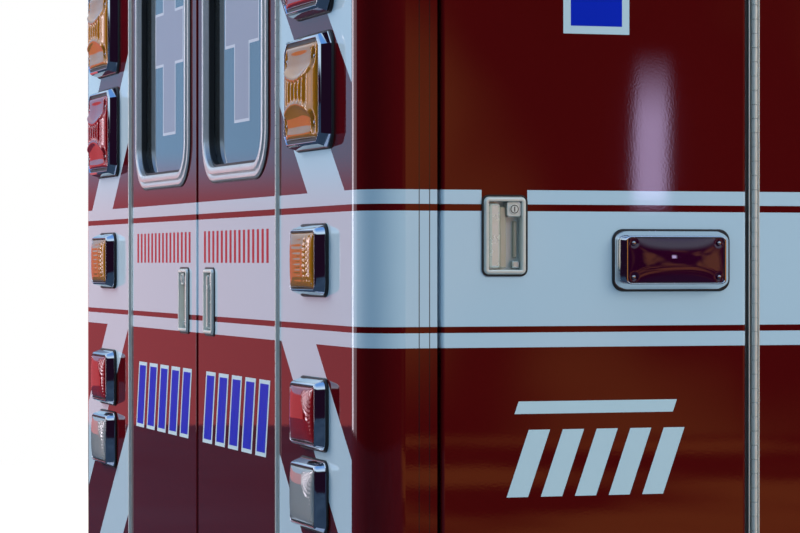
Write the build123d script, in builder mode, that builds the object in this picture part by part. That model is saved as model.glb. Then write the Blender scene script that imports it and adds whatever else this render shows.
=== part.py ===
from build123d import *

from math import cos, radians, sin
import os

# Patient module of a box-bodied ambulance: shell, doors, lockers, lamps, rear bumper and fittings.
# X points forward, Y to the left and Z up. The origin is the centre of the body-mount bolts, at the
# underside of the mount pads. Every size is in millimetres.

RIGHT, LEFT = -1, 1

# Shell
BODY_LENGTH = 3860.0
BODY_WIDTH = 2440.0
SKIRT_Z = -260.0
REAR_SKIRT_Z = -170.0
EAVES_Z = 1905.0
SHOULDER_Z = 1985.0
CROWN_Z = 2030.0
CEILING_Z = 1950.0
WALL = 60.0
CORNER_RADIUS = 75.0
CORNER_LEG = 100.0
DOOR_STRIP = 33.0
HALF_L = BODY_LENGTH / 2
HALF_W = BODY_WIDTH / 2
INNER_L = HALF_L - WALL
INNER_W = HALF_W - WALL

# Small round barrels and pins, and rounded corners, are drawn with a few flats each
BARREL_SIDES = 12
CORNER_FLATS = 3
WINDOW_CORNER_FLATS = 6

# Body mounts, long sills and cross sills
BOLT_X_OUTER = 1400.0
BOLT_X_INNER = 470.0
BOLT_Y = 516.0
BOLT_R = 9.0
PAD_LENGTH = 150.0
PAD_WIDTH = 130.0
PAD_THICK = 12.0
SILL_Y = 432.0
SILL_WIDTH = 60.0
SILL_HEIGHT = 60.0
CROSS_WIDTH = 50.0
CROSS_HEIGHT = 40.0
SILL_TOP = PAD_THICK + SILL_HEIGHT
DECK = 18.0
DECK_BOTTOM = SILL_TOP + CROSS_HEIGHT
FLOOR_Z = DECK_BOTTOM + DECK

# Doors and their hinges
DOOR_THICK = 48.0
GAP = 8.0
CENTRE_GAP = 12.0
HINGE_TO_DOOR = 16.0
HINGE_TO_FRAME = 10.0
HINGE_PROUD = 1.0
KNUCKLE_R = 5.5
PIN_R = 2.5
PIN_CLEARANCE = 0.08
KNUCKLE_CLEARANCE = 0.3
LEAF = 3.0
LEAF_DEPTH = 24.0
GUTTER_SHEET = 3.0
KNUCKLES = 5
DOOR_EDGE_R = 6.0

# Side doors, measured along the body
LOCKER_BOTTOM = -200.0
LOCKER_TOP = 1640.0
REAR_LOCKER_WIDTH = 577.0
FRONT_LOCKER_WIDTH = 728.0
MID_LOCKER_REAR = -90.0
MID_LOCKER_WIDTH = 720.0
MID_LOCKER_TOP = 1000.0
ENTRY_REAR = 60.0
ENTRY_WIDTH = 760.0
ENTRY_TOP = 1735.0
REAR_LOCKER_REAR = -HALF_L + CORNER_LEG + DOOR_STRIP + GAP
FRONT_POST_STRIP = 64.0
FRONT_LOCKER_FRONT = HALF_L - CORNER_LEG - FRONT_POST_STRIP - HINGE_TO_DOOR - HINGE_TO_FRAME

# Rear doors
REAR_DOOR_WIDTH = 633.0
REAR_DOOR_BOTTOM = 95.0
REAR_DOOR_TOP = 1735.0
REAR_OPENING_HALF = CENTRE_GAP / 2 + REAR_DOOR_WIDTH + HINGE_TO_DOOR + HINGE_TO_FRAME

# Windows
REAR_WINDOW_WIDTH = 525.0
REAR_WINDOW_BOTTOM = 934.0
REAR_WINDOW_TOP = 1600.0
REAR_WINDOW_R = 95.0
ENTRY_WINDOW_WIDTH = 500.0
ENTRY_WINDOW_BOTTOM = 1010.0
ENTRY_WINDOW_TOP = 1560.0
ENTRY_WINDOW_R = 70.0
WINDOW_RIM = 30.0
WINDOW_LAND = 15.0
WINDOW_LAND_PROUD = 5.5
WINDOW_PROUD = 9.0
WINDOW_SLOPE = 3.0
WINDOW_LIP = 10.0
GLASS = 6.0
GLASS_SET = 14.0

# Flush paddle latches: rim, dish behind it, tall paddle and the tab with the key lock
LATCH_WIDTH = 80.0
LATCH_HEIGHT = 138.0
LATCH_R = 10.0
LATCH_PLATE = 7.0
LATCH_RIM = 9.0
LATCH_SLOPE = 3.0
LATCH_DISH = 18.0
LATCH_SHEET = 2.0
LATCH_CLEARANCE = 0.3
PADDLE_WIDTH = 22.0
PADDLE_MARGIN = 3.0
PADDLE_PROUD = 3.0
LOCK_TAB = 27.0
LOCK_TAB_PROUD = 2.0
LOCK_R = 9.0
LOCK_PROUD = 4.0
SIDE_LATCH_IN = 116.0
SIDE_LATCH_Z = 815.0
REAR_LATCH_IN = 107.0
REAR_LATCH_Z = 686.0

# Lockers, step well and wheel arches
LINER = 12.0
LOCKER_DEPTH = 480.0
STEP_DEPTH = 280.0
TREAD_Z = -188.0
ARCH_X = -660.0
ARCH_Z = -250.0
ARCH_R = 450.0
ARCH_DEPTH = 560.0
ARCH_CLEARANCE = 2.0
RING_WIDTH = 46.0
RING_PROUD = 12.0

# Trim, bumper and flip-up step
RAIL_PROUD = 24.0
RAIL_SLOPE = 75.0
RAIL_HEIGHT = 34.0
RAIL_BOTTOM = -256.0
GUTTER_PROUD = 14.0
GUTTER_HEIGHT = 18.0
GUTTER_LIFT = 12.0
KICK_THICK = 4.0
KICK_HALF_WIDTH = 1085.0
KICK_BELOW_DOOR = 16.0
BUMPER_TOP = -176.0
BUMPER_BOTTOM = -262.0
BUMPER_DEPTH = 236.0
BUMPER_INSET = 55.0
BUMPER_HALF_WIDTH = HALF_W - BUMPER_INSET
BUMPER_SHEET = 6.0
BUMPER_GAP = 6.0
BAR_DEPTH = 40.0
BAR_DROP = 26.0
BRACKET_WIDTH = 60.0
BRACKET_THICK = 8.0
BRACKET_RISE = 130.0
STEP_HALF_WIDTH = 468.0
STEP_THICK = 26.0
STEP_AXIS_OUT = 60.0
STEP_BARREL_R = 12.0
STEP_PIN_R = 6.0
STEP_LUG = 40.0
LUG_DROP = 50.0
STEP_LUG_Y = 300.0
STEP_CLEARANCE = 1.0
STEP_SLOTS = 8
SLOT_LENGTH = 78.0
SLOT_WIDTH = 20.0
SLOT_ROWS = 3
SLOT_PITCH_X = 38.0
SLOT_PITCH_Y = 109.0
STEP_LIP = 4.0

# Pass-through to the cab
PASS_WIDTH = 500.0
PASS_BOTTOM = 1200.0
PASS_TOP = 1600.0
PASS_RIM = 50.0
PASS_PROUD = 20.0

# Lamps: width, height, corner radius, bezel depth, bezel rim and crown of the lens over the bezel
LARGE = (250.0, 207.0, 24.0, 26.0, 17.0, 16.0)
SMALL = (182.0, 127.0, 18.0, 24.0, 13.0, 12.0)
DOOR_LAMP = (219.0, 104.0, 20.0, 26.0, 14.0, 8.0)
BEZEL_TAPER = 9.0
LENS_CLEARANCE = 0.3
LENS_SEAT = 3.0
LENS_POCKET = (18.0, 38.0)
LENS_POCKET_IN = (17.0, 27.0)
LENS_POCKET_FLOOR = 4.0
LAMP_COLUMN_Y = 907.0
DOOR_LAMP_FROM_HINGE = 162.0
DOOR_LAMP_Z = 772.0
SIDE_LAMP_Z = 1790.0
HIGH_LAMP_Z = 1788.0
HEADER_LAMP_Z = 1824.0
SIDE_LAMP_IN = 240.0
SCENE_LAMP_X = -660.0

# Cabin fittings
BENCH_FRONT = 580.0
BENCH_HEIGHT = 410.0
FITTING_GAP = 4.0
CUSHION = 60.0
CUSHION_GAP = 10.0
CUSHION_EDGE = 12.0
SOFT_GAP = 0.3
BENCH_CUSHIONS = 3
BACK_PAD_Z = 720.0
BACK_PAD_HEIGHT = 330.0
CABINET_TOP = 1050.0
UPPER_DEPTH = 380.0
UPPER_BOTTOM = 1430.0
SEAT_FROM_WALL = 280.0
SEAT_X = INNER_L - SEAT_FROM_WALL
SEAT_SIZE = 470.0
SEAT_HEIGHT = 430.0
SEAT_CUSHION = 110.0
SEAT_BACK_HEIGHT = 620.0
SEAT_R = 21.0
PEDESTAL_R = 70.0
GRAB_RAIL_R = 16.0
GRAB_RAIL_Y = -160.0
GRAB_RAIL_DROP = 80.0
GRAB_RAIL_REAR = -1500.0
GRAB_RAIL_FRONT = 1000.0
GRAB_POST_R = 11.0
GRAB_POSTS = 4

# Side doors: name, side, rear edge, front edge, bottom, top
SIDE_DOORS = (
    ("rear_locker_right", RIGHT, REAR_LOCKER_REAR, REAR_LOCKER_REAR + REAR_LOCKER_WIDTH,
     LOCKER_BOTTOM, LOCKER_TOP),
    ("entry_door", RIGHT, ENTRY_REAR, ENTRY_REAR + ENTRY_WIDTH, LOCKER_BOTTOM, ENTRY_TOP),
    ("front_locker_right", RIGHT, FRONT_LOCKER_FRONT - FRONT_LOCKER_WIDTH, FRONT_LOCKER_FRONT,
     LOCKER_BOTTOM, LOCKER_TOP),
    ("rear_locker_left", LEFT, REAR_LOCKER_REAR, REAR_LOCKER_REAR + REAR_LOCKER_WIDTH,
     LOCKER_BOTTOM, LOCKER_TOP),
    ("mid_locker_left", LEFT, MID_LOCKER_REAR, MID_LOCKER_REAR + MID_LOCKER_WIDTH,
     LOCKER_BOTTOM, MID_LOCKER_TOP),
    ("front_locker_left", LEFT, FRONT_LOCKER_FRONT - FRONT_LOCKER_WIDTH, FRONT_LOCKER_FRONT,
     LOCKER_BOTTOM, LOCKER_TOP),
)

# Rear doors: name, side
REAR_DOORS = (("rear_door_right", RIGHT), ("rear_door_left", LEFT))

# Rear lamps: height, size, colour on the right, colour on the left
REAR_LAMPS = (
    (HIGH_LAMP_Z, LARGE, "red", "red"),
    (1323.0, LARGE, "red", "amber"),
    (1079.0, LARGE, "amber", "red"),
    (772.0, SMALL, "amber", "amber"),
    (492.0, SMALL, "red", "red"),
    (344.0, SMALL, "clear", "clear"),
)

# Lamps high on each side: place along the body, colour
SIDE_LAMPS = ((-HALF_L + SIDE_LAMP_IN, "red"), (SCENE_LAMP_X, "clear"), (HALF_L - SIDE_LAMP_IN, "red"))

# Lamps high on the front wall: place across the body, colour
FRONT_LAMPS = ((-905.0, "red"), (-470.0, "red"), (0.0, "clear"), (470.0, "red"), (905.0, "red"))

# How a lens rises over its bezel: share of its crown, and how far it has come in as a share of its crown
LENS_SECTIONS = ((0.0, 0.0), (0.65, 0.25), (1.0, 0.9))

os.makedirs("parts", exist_ok=True)


def opening_of(row):
    """Return the wall opening round a side door: rear, front, bottom and top."""
    _, _, rear, front, bottom, top = row
    return rear - GAP, front + HINGE_TO_DOOR + HINGE_TO_FRAME, bottom - GAP, top + GAP


def block(x, y, z, mode=Mode.ADD):
    """Add a box between (low, high) pairs to the part being built."""
    with Locations((sum(x) / 2, sum(y) / 2, sum(z) / 2)):
        Box(abs(x[1] - x[0]), abs(y[1] - y[0]), abs(z[1] - z[0]), mode=mode)


def save(builder, name):
    """Label a finished sub-part and write it under its name."""
    builder.part.label = name
    export_step(builder.part, f"parts/{name}.step")


def faceted(width, height, radius, flats=CORNER_FLATS, mode=Mode.ADD):
    """Add a rectangle to the sketch being built, each rounded corner drawn with a few flats."""
    points = []
    for turn, (sign_u, sign_v) in enumerate(((1, 1), (-1, 1), (-1, -1), (1, -1))):
        for step in range(flats + 1):
            angle = radians(90 * (turn + step / flats))
            points.append((
                sign_u * (width / 2 - radius) + radius * cos(angle),
                sign_v * (height / 2 - radius) + radius * sin(angle),
            ))
    Polygon(*points, mode=mode)


def barrel(radius, mode=Mode.ADD):
    """Add a round barrel or pin, drawn with flats, to the sketch being built."""
    RegularPolygon(radius, BARREL_SIDES, mode=mode)


def bore(radius):
    """Cut a bore from the sketch being built, its flats clear of a turning pin of that radius."""
    RegularPolygon(radius + PIN_CLEARANCE, BARREL_SIDES, major_radius=False, mode=Mode.SUBTRACT)


def side_plane(side, out=0.0):
    """Return the plane of a side wall's skin, facing outwards, its u along X or against it."""
    return Plane(origin=(0, side * (HALF_W + out), 0), x_dir=(-side, 0, 0), z_dir=(0, side, 0))


def rear_plane(out=0.0):
    """Return the plane of the rear skin, facing rearwards, its u towards the right-hand side."""
    return Plane(origin=(-HALF_L - out, 0, 0), x_dir=(0, -1, 0), z_dir=(-1, 0, 0))


def front_plane(out=0.0):
    """Return the plane of the front skin, facing forwards, its u towards the left-hand side."""
    return Plane(origin=(HALF_L + out, 0, 0), x_dir=(0, 1, 0), z_dir=(1, 0, 0))


# Side walls, each with its door openings and wheel arch
for side, name in ((RIGHT, "side_wall_right"), (LEFT, "side_wall_left")):
    with BuildPart() as side_wall:
        with BuildSketch(Plane.XZ.offset(-side * HALF_W)):
            with Locations((0, (SKIRT_Z + EAVES_Z) / 2)):
                Rectangle(BODY_LENGTH - 2 * CORNER_LEG, EAVES_Z - SKIRT_Z)
            for row in SIDE_DOORS:
                if row[1] == side:
                    rear, front, bottom, top = opening_of(row)
                    with Locations(((rear + front) / 2, (bottom + top) / 2)):
                        Rectangle(front - rear, top - bottom, mode=Mode.SUBTRACT)
            with Locations((ARCH_X, ARCH_Z)):
                Circle(ARCH_R, mode=Mode.SUBTRACT)
        extrude(amount=side * WALL)
    save(side_wall, name)

# Four rounded corner posts
with BuildPart() as corner_posts:
    with BuildSketch(Plane.XY.offset(SKIRT_Z)):
        RectangleRounded(BODY_LENGTH, BODY_WIDTH, CORNER_RADIUS)
        Rectangle(BODY_LENGTH - 2 * WALL, BODY_WIDTH - 2 * WALL, mode=Mode.SUBTRACT)
        Rectangle(BODY_LENGTH - 2 * CORNER_LEG, BODY_WIDTH, mode=Mode.SUBTRACT)
        Rectangle(BODY_LENGTH, BODY_WIDTH - 2 * CORNER_LEG, mode=Mode.SUBTRACT)
    extrude(amount=EAVES_Z - SKIRT_Z)
save(corner_posts, "corner_posts")

# Rear frame round the double doors
with BuildPart() as rear_frame:
    with BuildSketch(Plane.YZ.offset(-HALF_L)):
        with Locations((0, (REAR_SKIRT_Z + EAVES_Z) / 2)):
            Rectangle(BODY_WIDTH - 2 * CORNER_LEG, EAVES_Z - REAR_SKIRT_Z)
        with Locations((0, (REAR_DOOR_BOTTOM + REAR_DOOR_TOP) / 2)):
            Rectangle(2 * REAR_OPENING_HALF, REAR_DOOR_TOP - REAR_DOOR_BOTTOM + 2 * GAP, mode=Mode.SUBTRACT)
    extrude(amount=WALL)
save(rear_frame, "rear_frame")

# Front wall with the pass-through to the cab and its flange
with BuildPart() as front_wall:
    with BuildSketch(Plane.YZ.offset(INNER_L)):
        with Locations((0, (PAD_THICK + EAVES_Z) / 2)):
            Rectangle(BODY_WIDTH - 2 * CORNER_LEG, EAVES_Z - PAD_THICK)
    extrude(amount=WALL)
    with BuildSketch(front_plane()):
        with Locations((0, (PASS_BOTTOM + PASS_TOP) / 2)):
            RectangleRounded(PASS_WIDTH + 2 * PASS_RIM, PASS_TOP - PASS_BOTTOM + 2 * PASS_RIM, 2 * PASS_RIM)
    extrude(amount=PASS_PROUD)
    with BuildSketch(front_plane(PASS_PROUD)):
        with Locations((0, (PASS_BOTTOM + PASS_TOP) / 2)):
            RectangleRounded(PASS_WIDTH, PASS_TOP - PASS_BOTTOM, PASS_RIM)
    extrude(amount=-WALL - PASS_PROUD, mode=Mode.SUBTRACT)
save(front_wall, "front_wall")

# Crowned roof with rounded shoulders
with BuildPart() as roof:
    with BuildSketch(Plane.YZ.offset(-HALF_L)):
        with BuildLine():
            shoulder_in = HALF_W - CORNER_RADIUS
            Line((-HALF_W, EAVES_Z), (HALF_W, EAVES_Z))
            Line((HALF_W, EAVES_Z), (HALF_W, SHOULDER_Z - CORNER_RADIUS))
            RadiusArc((HALF_W, SHOULDER_Z - CORNER_RADIUS), (shoulder_in, SHOULDER_Z), -CORNER_RADIUS)
            ThreePointArc((shoulder_in, SHOULDER_Z), (0, CROWN_Z), (-shoulder_in, SHOULDER_Z))
            RadiusArc((-shoulder_in, SHOULDER_Z), (-HALF_W, SHOULDER_Z - CORNER_RADIUS), -CORNER_RADIUS)
            Line((-HALF_W, SHOULDER_Z - CORNER_RADIUS), (-HALF_W, EAVES_Z))
        make_face()
    extrude(amount=BODY_LENGTH)
    with BuildSketch(Plane.XY.offset(EAVES_Z)):
        RectangleRounded(BODY_LENGTH, BODY_WIDTH, CORNER_RADIUS)
    extrude(amount=CROWN_Z - EAVES_Z, mode=Mode.INTERSECT)
    block((-INNER_L, INNER_L), (-INNER_W, INNER_W), (EAVES_Z, CEILING_Z), mode=Mode.SUBTRACT)
save(roof, "roof")

# Floor deck, notched round the lockers, the wheel arches and the step well
with BuildPart() as floor_deck:
    with BuildSketch(Plane.XY.offset(DECK_BOTTOM)):
        Rectangle(2 * INNER_L, 2 * INNER_W)
        for row in SIDE_DOORS:
            rear, front, _, _ = opening_of(row)
            depth = STEP_DEPTH if row[0] == "entry_door" else LOCKER_DEPTH
            with Locations(((rear + front) / 2, row[1] * (INNER_W - depth / 2))):
                Rectangle(front - rear + 2 * LINER, depth, mode=Mode.SUBTRACT)
        with Locations((ARCH_X, 0)):
            with GridLocations(0, 2 * INNER_W - ARCH_DEPTH, 1, 2):
                Rectangle(2 * (ARCH_R + LINER + ARCH_CLEARANCE), ARCH_DEPTH, mode=Mode.SUBTRACT)
    extrude(amount=DECK)
save(floor_deck, "floor_deck")

# Cross sills that carry the deck: place along the body, half length
ARCH_SIDE = ARCH_DEPTH + ARCH_CLEARANCE
CROSS_SILLS = (
    (-INNER_L + CROSS_WIDTH / 2, INNER_W),
    (-1560.0, INNER_W - LOCKER_DEPTH),
    (ARCH_X - ARCH_R - LINER - CROSS_WIDTH / 2 - ARCH_CLEARANCE, INNER_W),
    (ARCH_X, INNER_W - ARCH_SIDE),
    (ARCH_X + ARCH_R + LINER + CROSS_WIDTH / 2 + ARCH_CLEARANCE, INNER_W),
    (250.0, INNER_W - LOCKER_DEPTH),
    (ENTRY_REAR + ENTRY_WIDTH + HINGE_TO_DOOR + HINGE_TO_FRAME + LINER + CROSS_WIDTH, INNER_W),
    (1370.0, INNER_W - LOCKER_DEPTH),
    (INNER_L - CROSS_WIDTH / 2, INNER_W),
)
with BuildPart() as cross_sills:
    for x, half_length in CROSS_SILLS:
        block((x - CROSS_WIDTH / 2, x + CROSS_WIDTH / 2), (-half_length, half_length), (SILL_TOP, DECK_BOTTOM))
save(cross_sills, "cross_sills")

# Subframe: two long sills under the cross sills, each with drilled pads outboard at the body mounts
with BuildPart() as subframe:
    for y in (-SILL_Y, SILL_Y):
        block((-INNER_L, INNER_L), (y - SILL_WIDTH / 2, y + SILL_WIDTH / 2), (PAD_THICK, SILL_TOP))
    with BuildSketch(Plane.XY):
        for spread in (BOLT_X_OUTER, BOLT_X_INNER):
            with GridLocations(2 * spread, 2 * (SILL_Y - SILL_WIDTH / 2 + PAD_WIDTH / 2), 2, 2):
                Rectangle(PAD_LENGTH, PAD_WIDTH)
            with GridLocations(2 * spread, 2 * BOLT_Y, 2, 2):
                Circle(BOLT_R, mode=Mode.SUBTRACT)
    extrude(amount=PAD_THICK)
save(subframe, "subframe")

# Wheel arch liners, closed on their inner side
with BuildPart() as wheel_arches:
    for side in (RIGHT, LEFT):
        with BuildSketch(Plane.XZ.offset(-side * INNER_W)):
            with Locations((ARCH_X, ARCH_Z)):
                Circle(ARCH_R + LINER)
                Circle(ARCH_R, mode=Mode.SUBTRACT)
            with Locations((ARCH_X, SKIRT_Z - ARCH_R)):
                Rectangle(3 * ARCH_R, 2 * ARCH_R, mode=Mode.SUBTRACT)
        extrude(amount=side * ARCH_DEPTH)
        with BuildSketch(Plane.XZ.offset(-side * (INNER_W - ARCH_DEPTH + LINER))):
            with Locations((ARCH_X, ARCH_Z)):
                Circle(ARCH_R + LINER)
            with Locations((ARCH_X, SKIRT_Z - ARCH_R)):
                Rectangle(3 * ARCH_R, 2 * ARCH_R, mode=Mode.SUBTRACT)
        extrude(amount=side * LINER)
save(wheel_arches, "wheel_arches")

# Bright rings round the wheel arches, with a folded outer face
with BuildPart() as fender_rings:
    for side in (RIGHT, LEFT):
        with BuildSketch(Plane(origin=(ARCH_X, side * HALF_W, ARCH_Z), x_dir=(1, 0, 0), z_dir=(0, 0, 1))):
            with BuildLine():
                Polyline(
                    (ARCH_R, 0),
                    (ARCH_R + RING_WIDTH, 0),
                    (ARCH_R + RING_WIDTH - RING_PROUD, side * RING_PROUD),
                    (ARCH_R + RING_PROUD, side * RING_PROUD),
                    (ARCH_R, side * RING_PROUD / 2),
                    close=True,
                )
            make_face()
        revolve(axis=Axis((ARCH_X, 0, ARCH_Z), (0, -1, 0)), revolution_arc=180)
save(fender_rings, "fender_rings")

# Open locker liners behind each side's locker doors
for side, name in ((RIGHT, "locker_liners_right"), (LEFT, "locker_liners_left")):
    with BuildPart() as locker_liners:
        for row in SIDE_DOORS:
            if row[1] == side and row[0] != "entry_door":
                rear, front, bottom, top = opening_of(row)
                y_out, y_in = side * INNER_W, side * (INNER_W - LOCKER_DEPTH)
                block((rear - LINER, front + LINER), sorted((y_out, y_in)), (bottom - LINER, top + LINER))
                block((rear, front), sorted((y_out, y_in + side * LINER)), (bottom, top), mode=Mode.SUBTRACT)
    save(locker_liners, name)

# Step well inside the entry door: tread, two cheeks and a riser
entry_rear, entry_front, entry_bottom, entry_top = opening_of(SIDE_DOORS[1])
with BuildPart() as step_well:
    block(
        (entry_rear - LINER, entry_front + LINER),
        (-INNER_W, -INNER_W + STEP_DEPTH),
        (TREAD_Z - LINER, FLOOR_Z),
    )
    block(
        (entry_rear, entry_front),
        (-INNER_W, -INNER_W + STEP_DEPTH - LINER),
        (TREAD_Z, FLOOR_Z),
        mode=Mode.SUBTRACT,
    )
save(step_well, "step_well")

# Rub rails along the skirts and drip rails over the side doors
with BuildPart() as body_rails:
    rail_ends = (
        (-HALF_L + CORNER_LEG, ARCH_X - ARCH_R - RING_WIDTH - GAP),
        (ARCH_X + ARCH_R + RING_WIDTH + GAP, HALF_L - CORNER_LEG),
    )
    for side in (RIGHT, LEFT):
        for rail_rear, rail_front in rail_ends:
            with BuildSketch(Plane.YZ.offset(rail_rear)):
                with Locations((side * (HALF_W + RAIL_PROUD / 2), RAIL_BOTTOM + RAIL_HEIGHT / 2)):
                    Trapezoid(RAIL_HEIGHT, RAIL_PROUD, RAIL_SLOPE, rotation=-side * 90)
            extrude(amount=rail_front - rail_rear)
    for row in SIDE_DOORS:
        rear, front, _, top = opening_of(row)
        gutter_z = top + GUTTER_LIFT
        with BuildSketch(Plane.YZ.offset(rear)):
            with BuildLine():
                Polyline(
                    (row[1] * HALF_W, gutter_z),
                    (row[1] * (HALF_W + GUTTER_PROUD), gutter_z + GUTTER_HEIGHT / 3),
                    (row[1] * (HALF_W + GUTTER_PROUD), gutter_z + GUTTER_HEIGHT),
                    (row[1] * (HALF_W + GUTTER_PROUD - GUTTER_SHEET), gutter_z + GUTTER_HEIGHT),
                    (row[1] * (HALF_W + GUTTER_PROUD - GUTTER_SHEET), gutter_z + GUTTER_HEIGHT / 2),
                    (row[1] * HALF_W, gutter_z + GUTTER_HEIGHT / 2),
                    close=True,
                )
            make_face()
        extrude(amount=front - rear)
save(body_rails, "body_rails")

# Kick plate below the rear doors
kick_top = REAR_DOOR_BOTTOM - KICK_BELOW_DOOR
with BuildPart() as kick_plate:
    block(
        (-HALF_L - KICK_THICK, -HALF_L),
        (-KICK_HALF_WIDTH, KICK_HALF_WIDTH),
        (REAR_SKIRT_Z, kick_top),
    )
save(kick_plate, "kick_plate")

# Rear bumper: two folded end boxes open below, a bar between them and two carrying brackets
step_axis_x = -HALF_L - STEP_AXIS_OUT
step_axis_z = BUMPER_TOP - STEP_THICK / 2
end_inner_y = STEP_HALF_WIDTH + BUMPER_GAP
bumper_rear = -HALF_L - BUMPER_DEPTH
with BuildPart() as bumper:
    for side in (RIGHT, LEFT):
        with BuildSketch(Plane.XY.offset(BUMPER_BOTTOM)) as end_outline:
            with BuildLine():
                Polyline(
                    (-HALF_L, side * end_inner_y),
                    (bumper_rear, side * end_inner_y),
                    (bumper_rear, side * (BUMPER_HALF_WIDTH - BUMPER_DEPTH / 2)),
                    (bumper_rear + BUMPER_DEPTH / 2, side * BUMPER_HALF_WIDTH),
                    (-HALF_L, side * BUMPER_HALF_WIDTH),
                    close=True,
                )
            make_face()
        extrude(amount=BUMPER_TOP - BUMPER_BOTTOM)
        with BuildSketch(Plane.XY.offset(BUMPER_BOTTOM)):
            offset(end_outline.sketch, amount=-BUMPER_SHEET)
        extrude(amount=BUMPER_TOP - BUMPER_BOTTOM - BUMPER_SHEET, mode=Mode.SUBTRACT)
    block(
        (-HALF_L - BAR_DEPTH, -HALF_L),
        (-end_inner_y, end_inner_y),
        (BUMPER_BOTTOM, BUMPER_TOP - BAR_DROP),
    )
    for y in (-SILL_Y, SILL_Y):
        block(
            (-HALF_L, -INNER_L + BRACKET_THICK),
            (y - BRACKET_WIDTH / 2, y + BRACKET_WIDTH / 2),
            (BUMPER_BOTTOM, REAR_SKIRT_Z),
        )
        block(
            (-INNER_L, -INNER_L + BRACKET_THICK),
            (y - BRACKET_WIDTH / 2, y + BRACKET_WIDTH / 2),
            (REAR_SKIRT_Z, REAR_SKIRT_Z + BRACKET_RISE),
        )
    for y in (-STEP_LUG_Y, STEP_LUG_Y):
        block(
            (step_axis_x - STEP_BARREL_R, -HALF_L - BAR_DEPTH),
            (y - STEP_LUG / 2, y + STEP_LUG / 2),
            (step_axis_z - LUG_DROP, step_axis_z),
        )
        with BuildSketch(Plane.XZ.offset(-y - STEP_LUG / 2)):
            with Locations((step_axis_x, step_axis_z)):
                barrel(STEP_BARREL_R)
        extrude(amount=STEP_LUG)
        with BuildSketch(Plane.XZ.offset(-y - STEP_LUG)):
            with Locations((step_axis_x, step_axis_z)):
                barrel(STEP_PIN_R)
        extrude(amount=2 * STEP_LUG)
save(bumper, "bumper")

# Flip-up step: slotted tread on a barrel that turns on the bumper's two lugs
lug_notch = STEP_LUG + 2 * STEP_CLEARANCE
with BuildPart() as flip_step:
    with BuildSketch(Plane.XY.offset(BUMPER_TOP)):
        with Locations(((bumper_rear + step_axis_x) / 2, 0)):
            Rectangle(step_axis_x - bumper_rear, 2 * STEP_HALF_WIDTH)
        with Locations(((bumper_rear + step_axis_x) / 2 - STEP_BARREL_R, 0)):
            with GridLocations(SLOT_PITCH_X, SLOT_PITCH_Y, SLOT_ROWS, STEP_SLOTS):
                Rectangle(SLOT_WIDTH, SLOT_LENGTH, mode=Mode.SUBTRACT)
    extrude(amount=-STEP_THICK)
    chamfer(flip_step.edges().filter_by(Axis.Y).group_by(Axis.X)[0], STEP_LIP)
    with BuildSketch(Plane.XZ.offset(-STEP_HALF_WIDTH)):
        with Locations((step_axis_x, step_axis_z)):
            barrel(STEP_BARREL_R)
    extrude(amount=2 * STEP_HALF_WIDTH)
    for y in (-STEP_LUG_Y, STEP_LUG_Y):
        block(
            (step_axis_x - STEP_BARREL_R - STEP_CLEARANCE, step_axis_x + STEP_BARREL_R + STEP_CLEARANCE),
            (y - lug_notch / 2, y + lug_notch / 2),
            (BUMPER_TOP - STEP_THICK - STEP_CLEARANCE, BUMPER_TOP + STEP_CLEARANCE),
            mode=Mode.SUBTRACT,
        )
        with BuildSketch(Plane.XZ.offset(-y - STEP_LUG)):
            with Locations((step_axis_x, step_axis_z)):
                RegularPolygon(STEP_PIN_R + PIN_CLEARANCE, BARREL_SIDES, major_radius=False)
        extrude(amount=2 * STEP_LUG, mode=Mode.SUBTRACT)
save(flip_step, "flip_step")


# Doors. Each row: name, skin plane facing out, sign of u towards the hinge, free edge, hinged edge,
# bottom, top, window (width, bottom, top, radius) or None, latch distance from the free edge, latch height
DOORS = [
    (row[0], side_plane(row[1]), -row[1], -row[1] * row[2], -row[1] * row[3], row[4], row[5],
     (ENTRY_WINDOW_WIDTH, ENTRY_WINDOW_BOTTOM, ENTRY_WINDOW_TOP, ENTRY_WINDOW_R)
     if row[0] == "entry_door" else None, SIDE_LATCH_IN, SIDE_LATCH_Z)
    for row in SIDE_DOORS
]
DOORS += [
    (name, rear_plane(), -side, -side * CENTRE_GAP / 2, -side * (CENTRE_GAP / 2 + REAR_DOOR_WIDTH),
     REAR_DOOR_BOTTOM, REAR_DOOR_TOP,
     (REAR_WINDOW_WIDTH, REAR_WINDOW_BOTTOM, REAR_WINDOW_TOP, REAR_WINDOW_R), REAR_LATCH_IN, REAR_LATCH_Z)
    for name, side in REAR_DOORS
]


def shifted(plane, u, v, out=0.0):
    """Return the plane moved by u and v in itself and by out along its normal."""
    origin = plane.origin + plane.x_dir * u + plane.y_dir * v + plane.z_dir * out
    return Plane(origin=origin, x_dir=plane.x_dir, z_dir=plane.z_dir)


def window_outline(width, height, radius, inset):
    """Add a window's outline, brought in by inset on every side, to the sketch being built."""
    faceted(width - 2 * inset, height - 2 * inset, radius - inset, WINDOW_CORNER_FLATS)


def knuckle_spans(bottom, top, moving):
    """Return the (bottom, top) spans of a hinge's fixed or moving knuckles."""
    pitch = (top - bottom) / KNUCKLES
    first = 1 if moving else 0
    half = KNUCKLE_CLEARANCE / 2
    return [(bottom + i * pitch + half, bottom + (i + 1) * pitch - half) for i in range(first, KNUCKLES, 2)]


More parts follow.
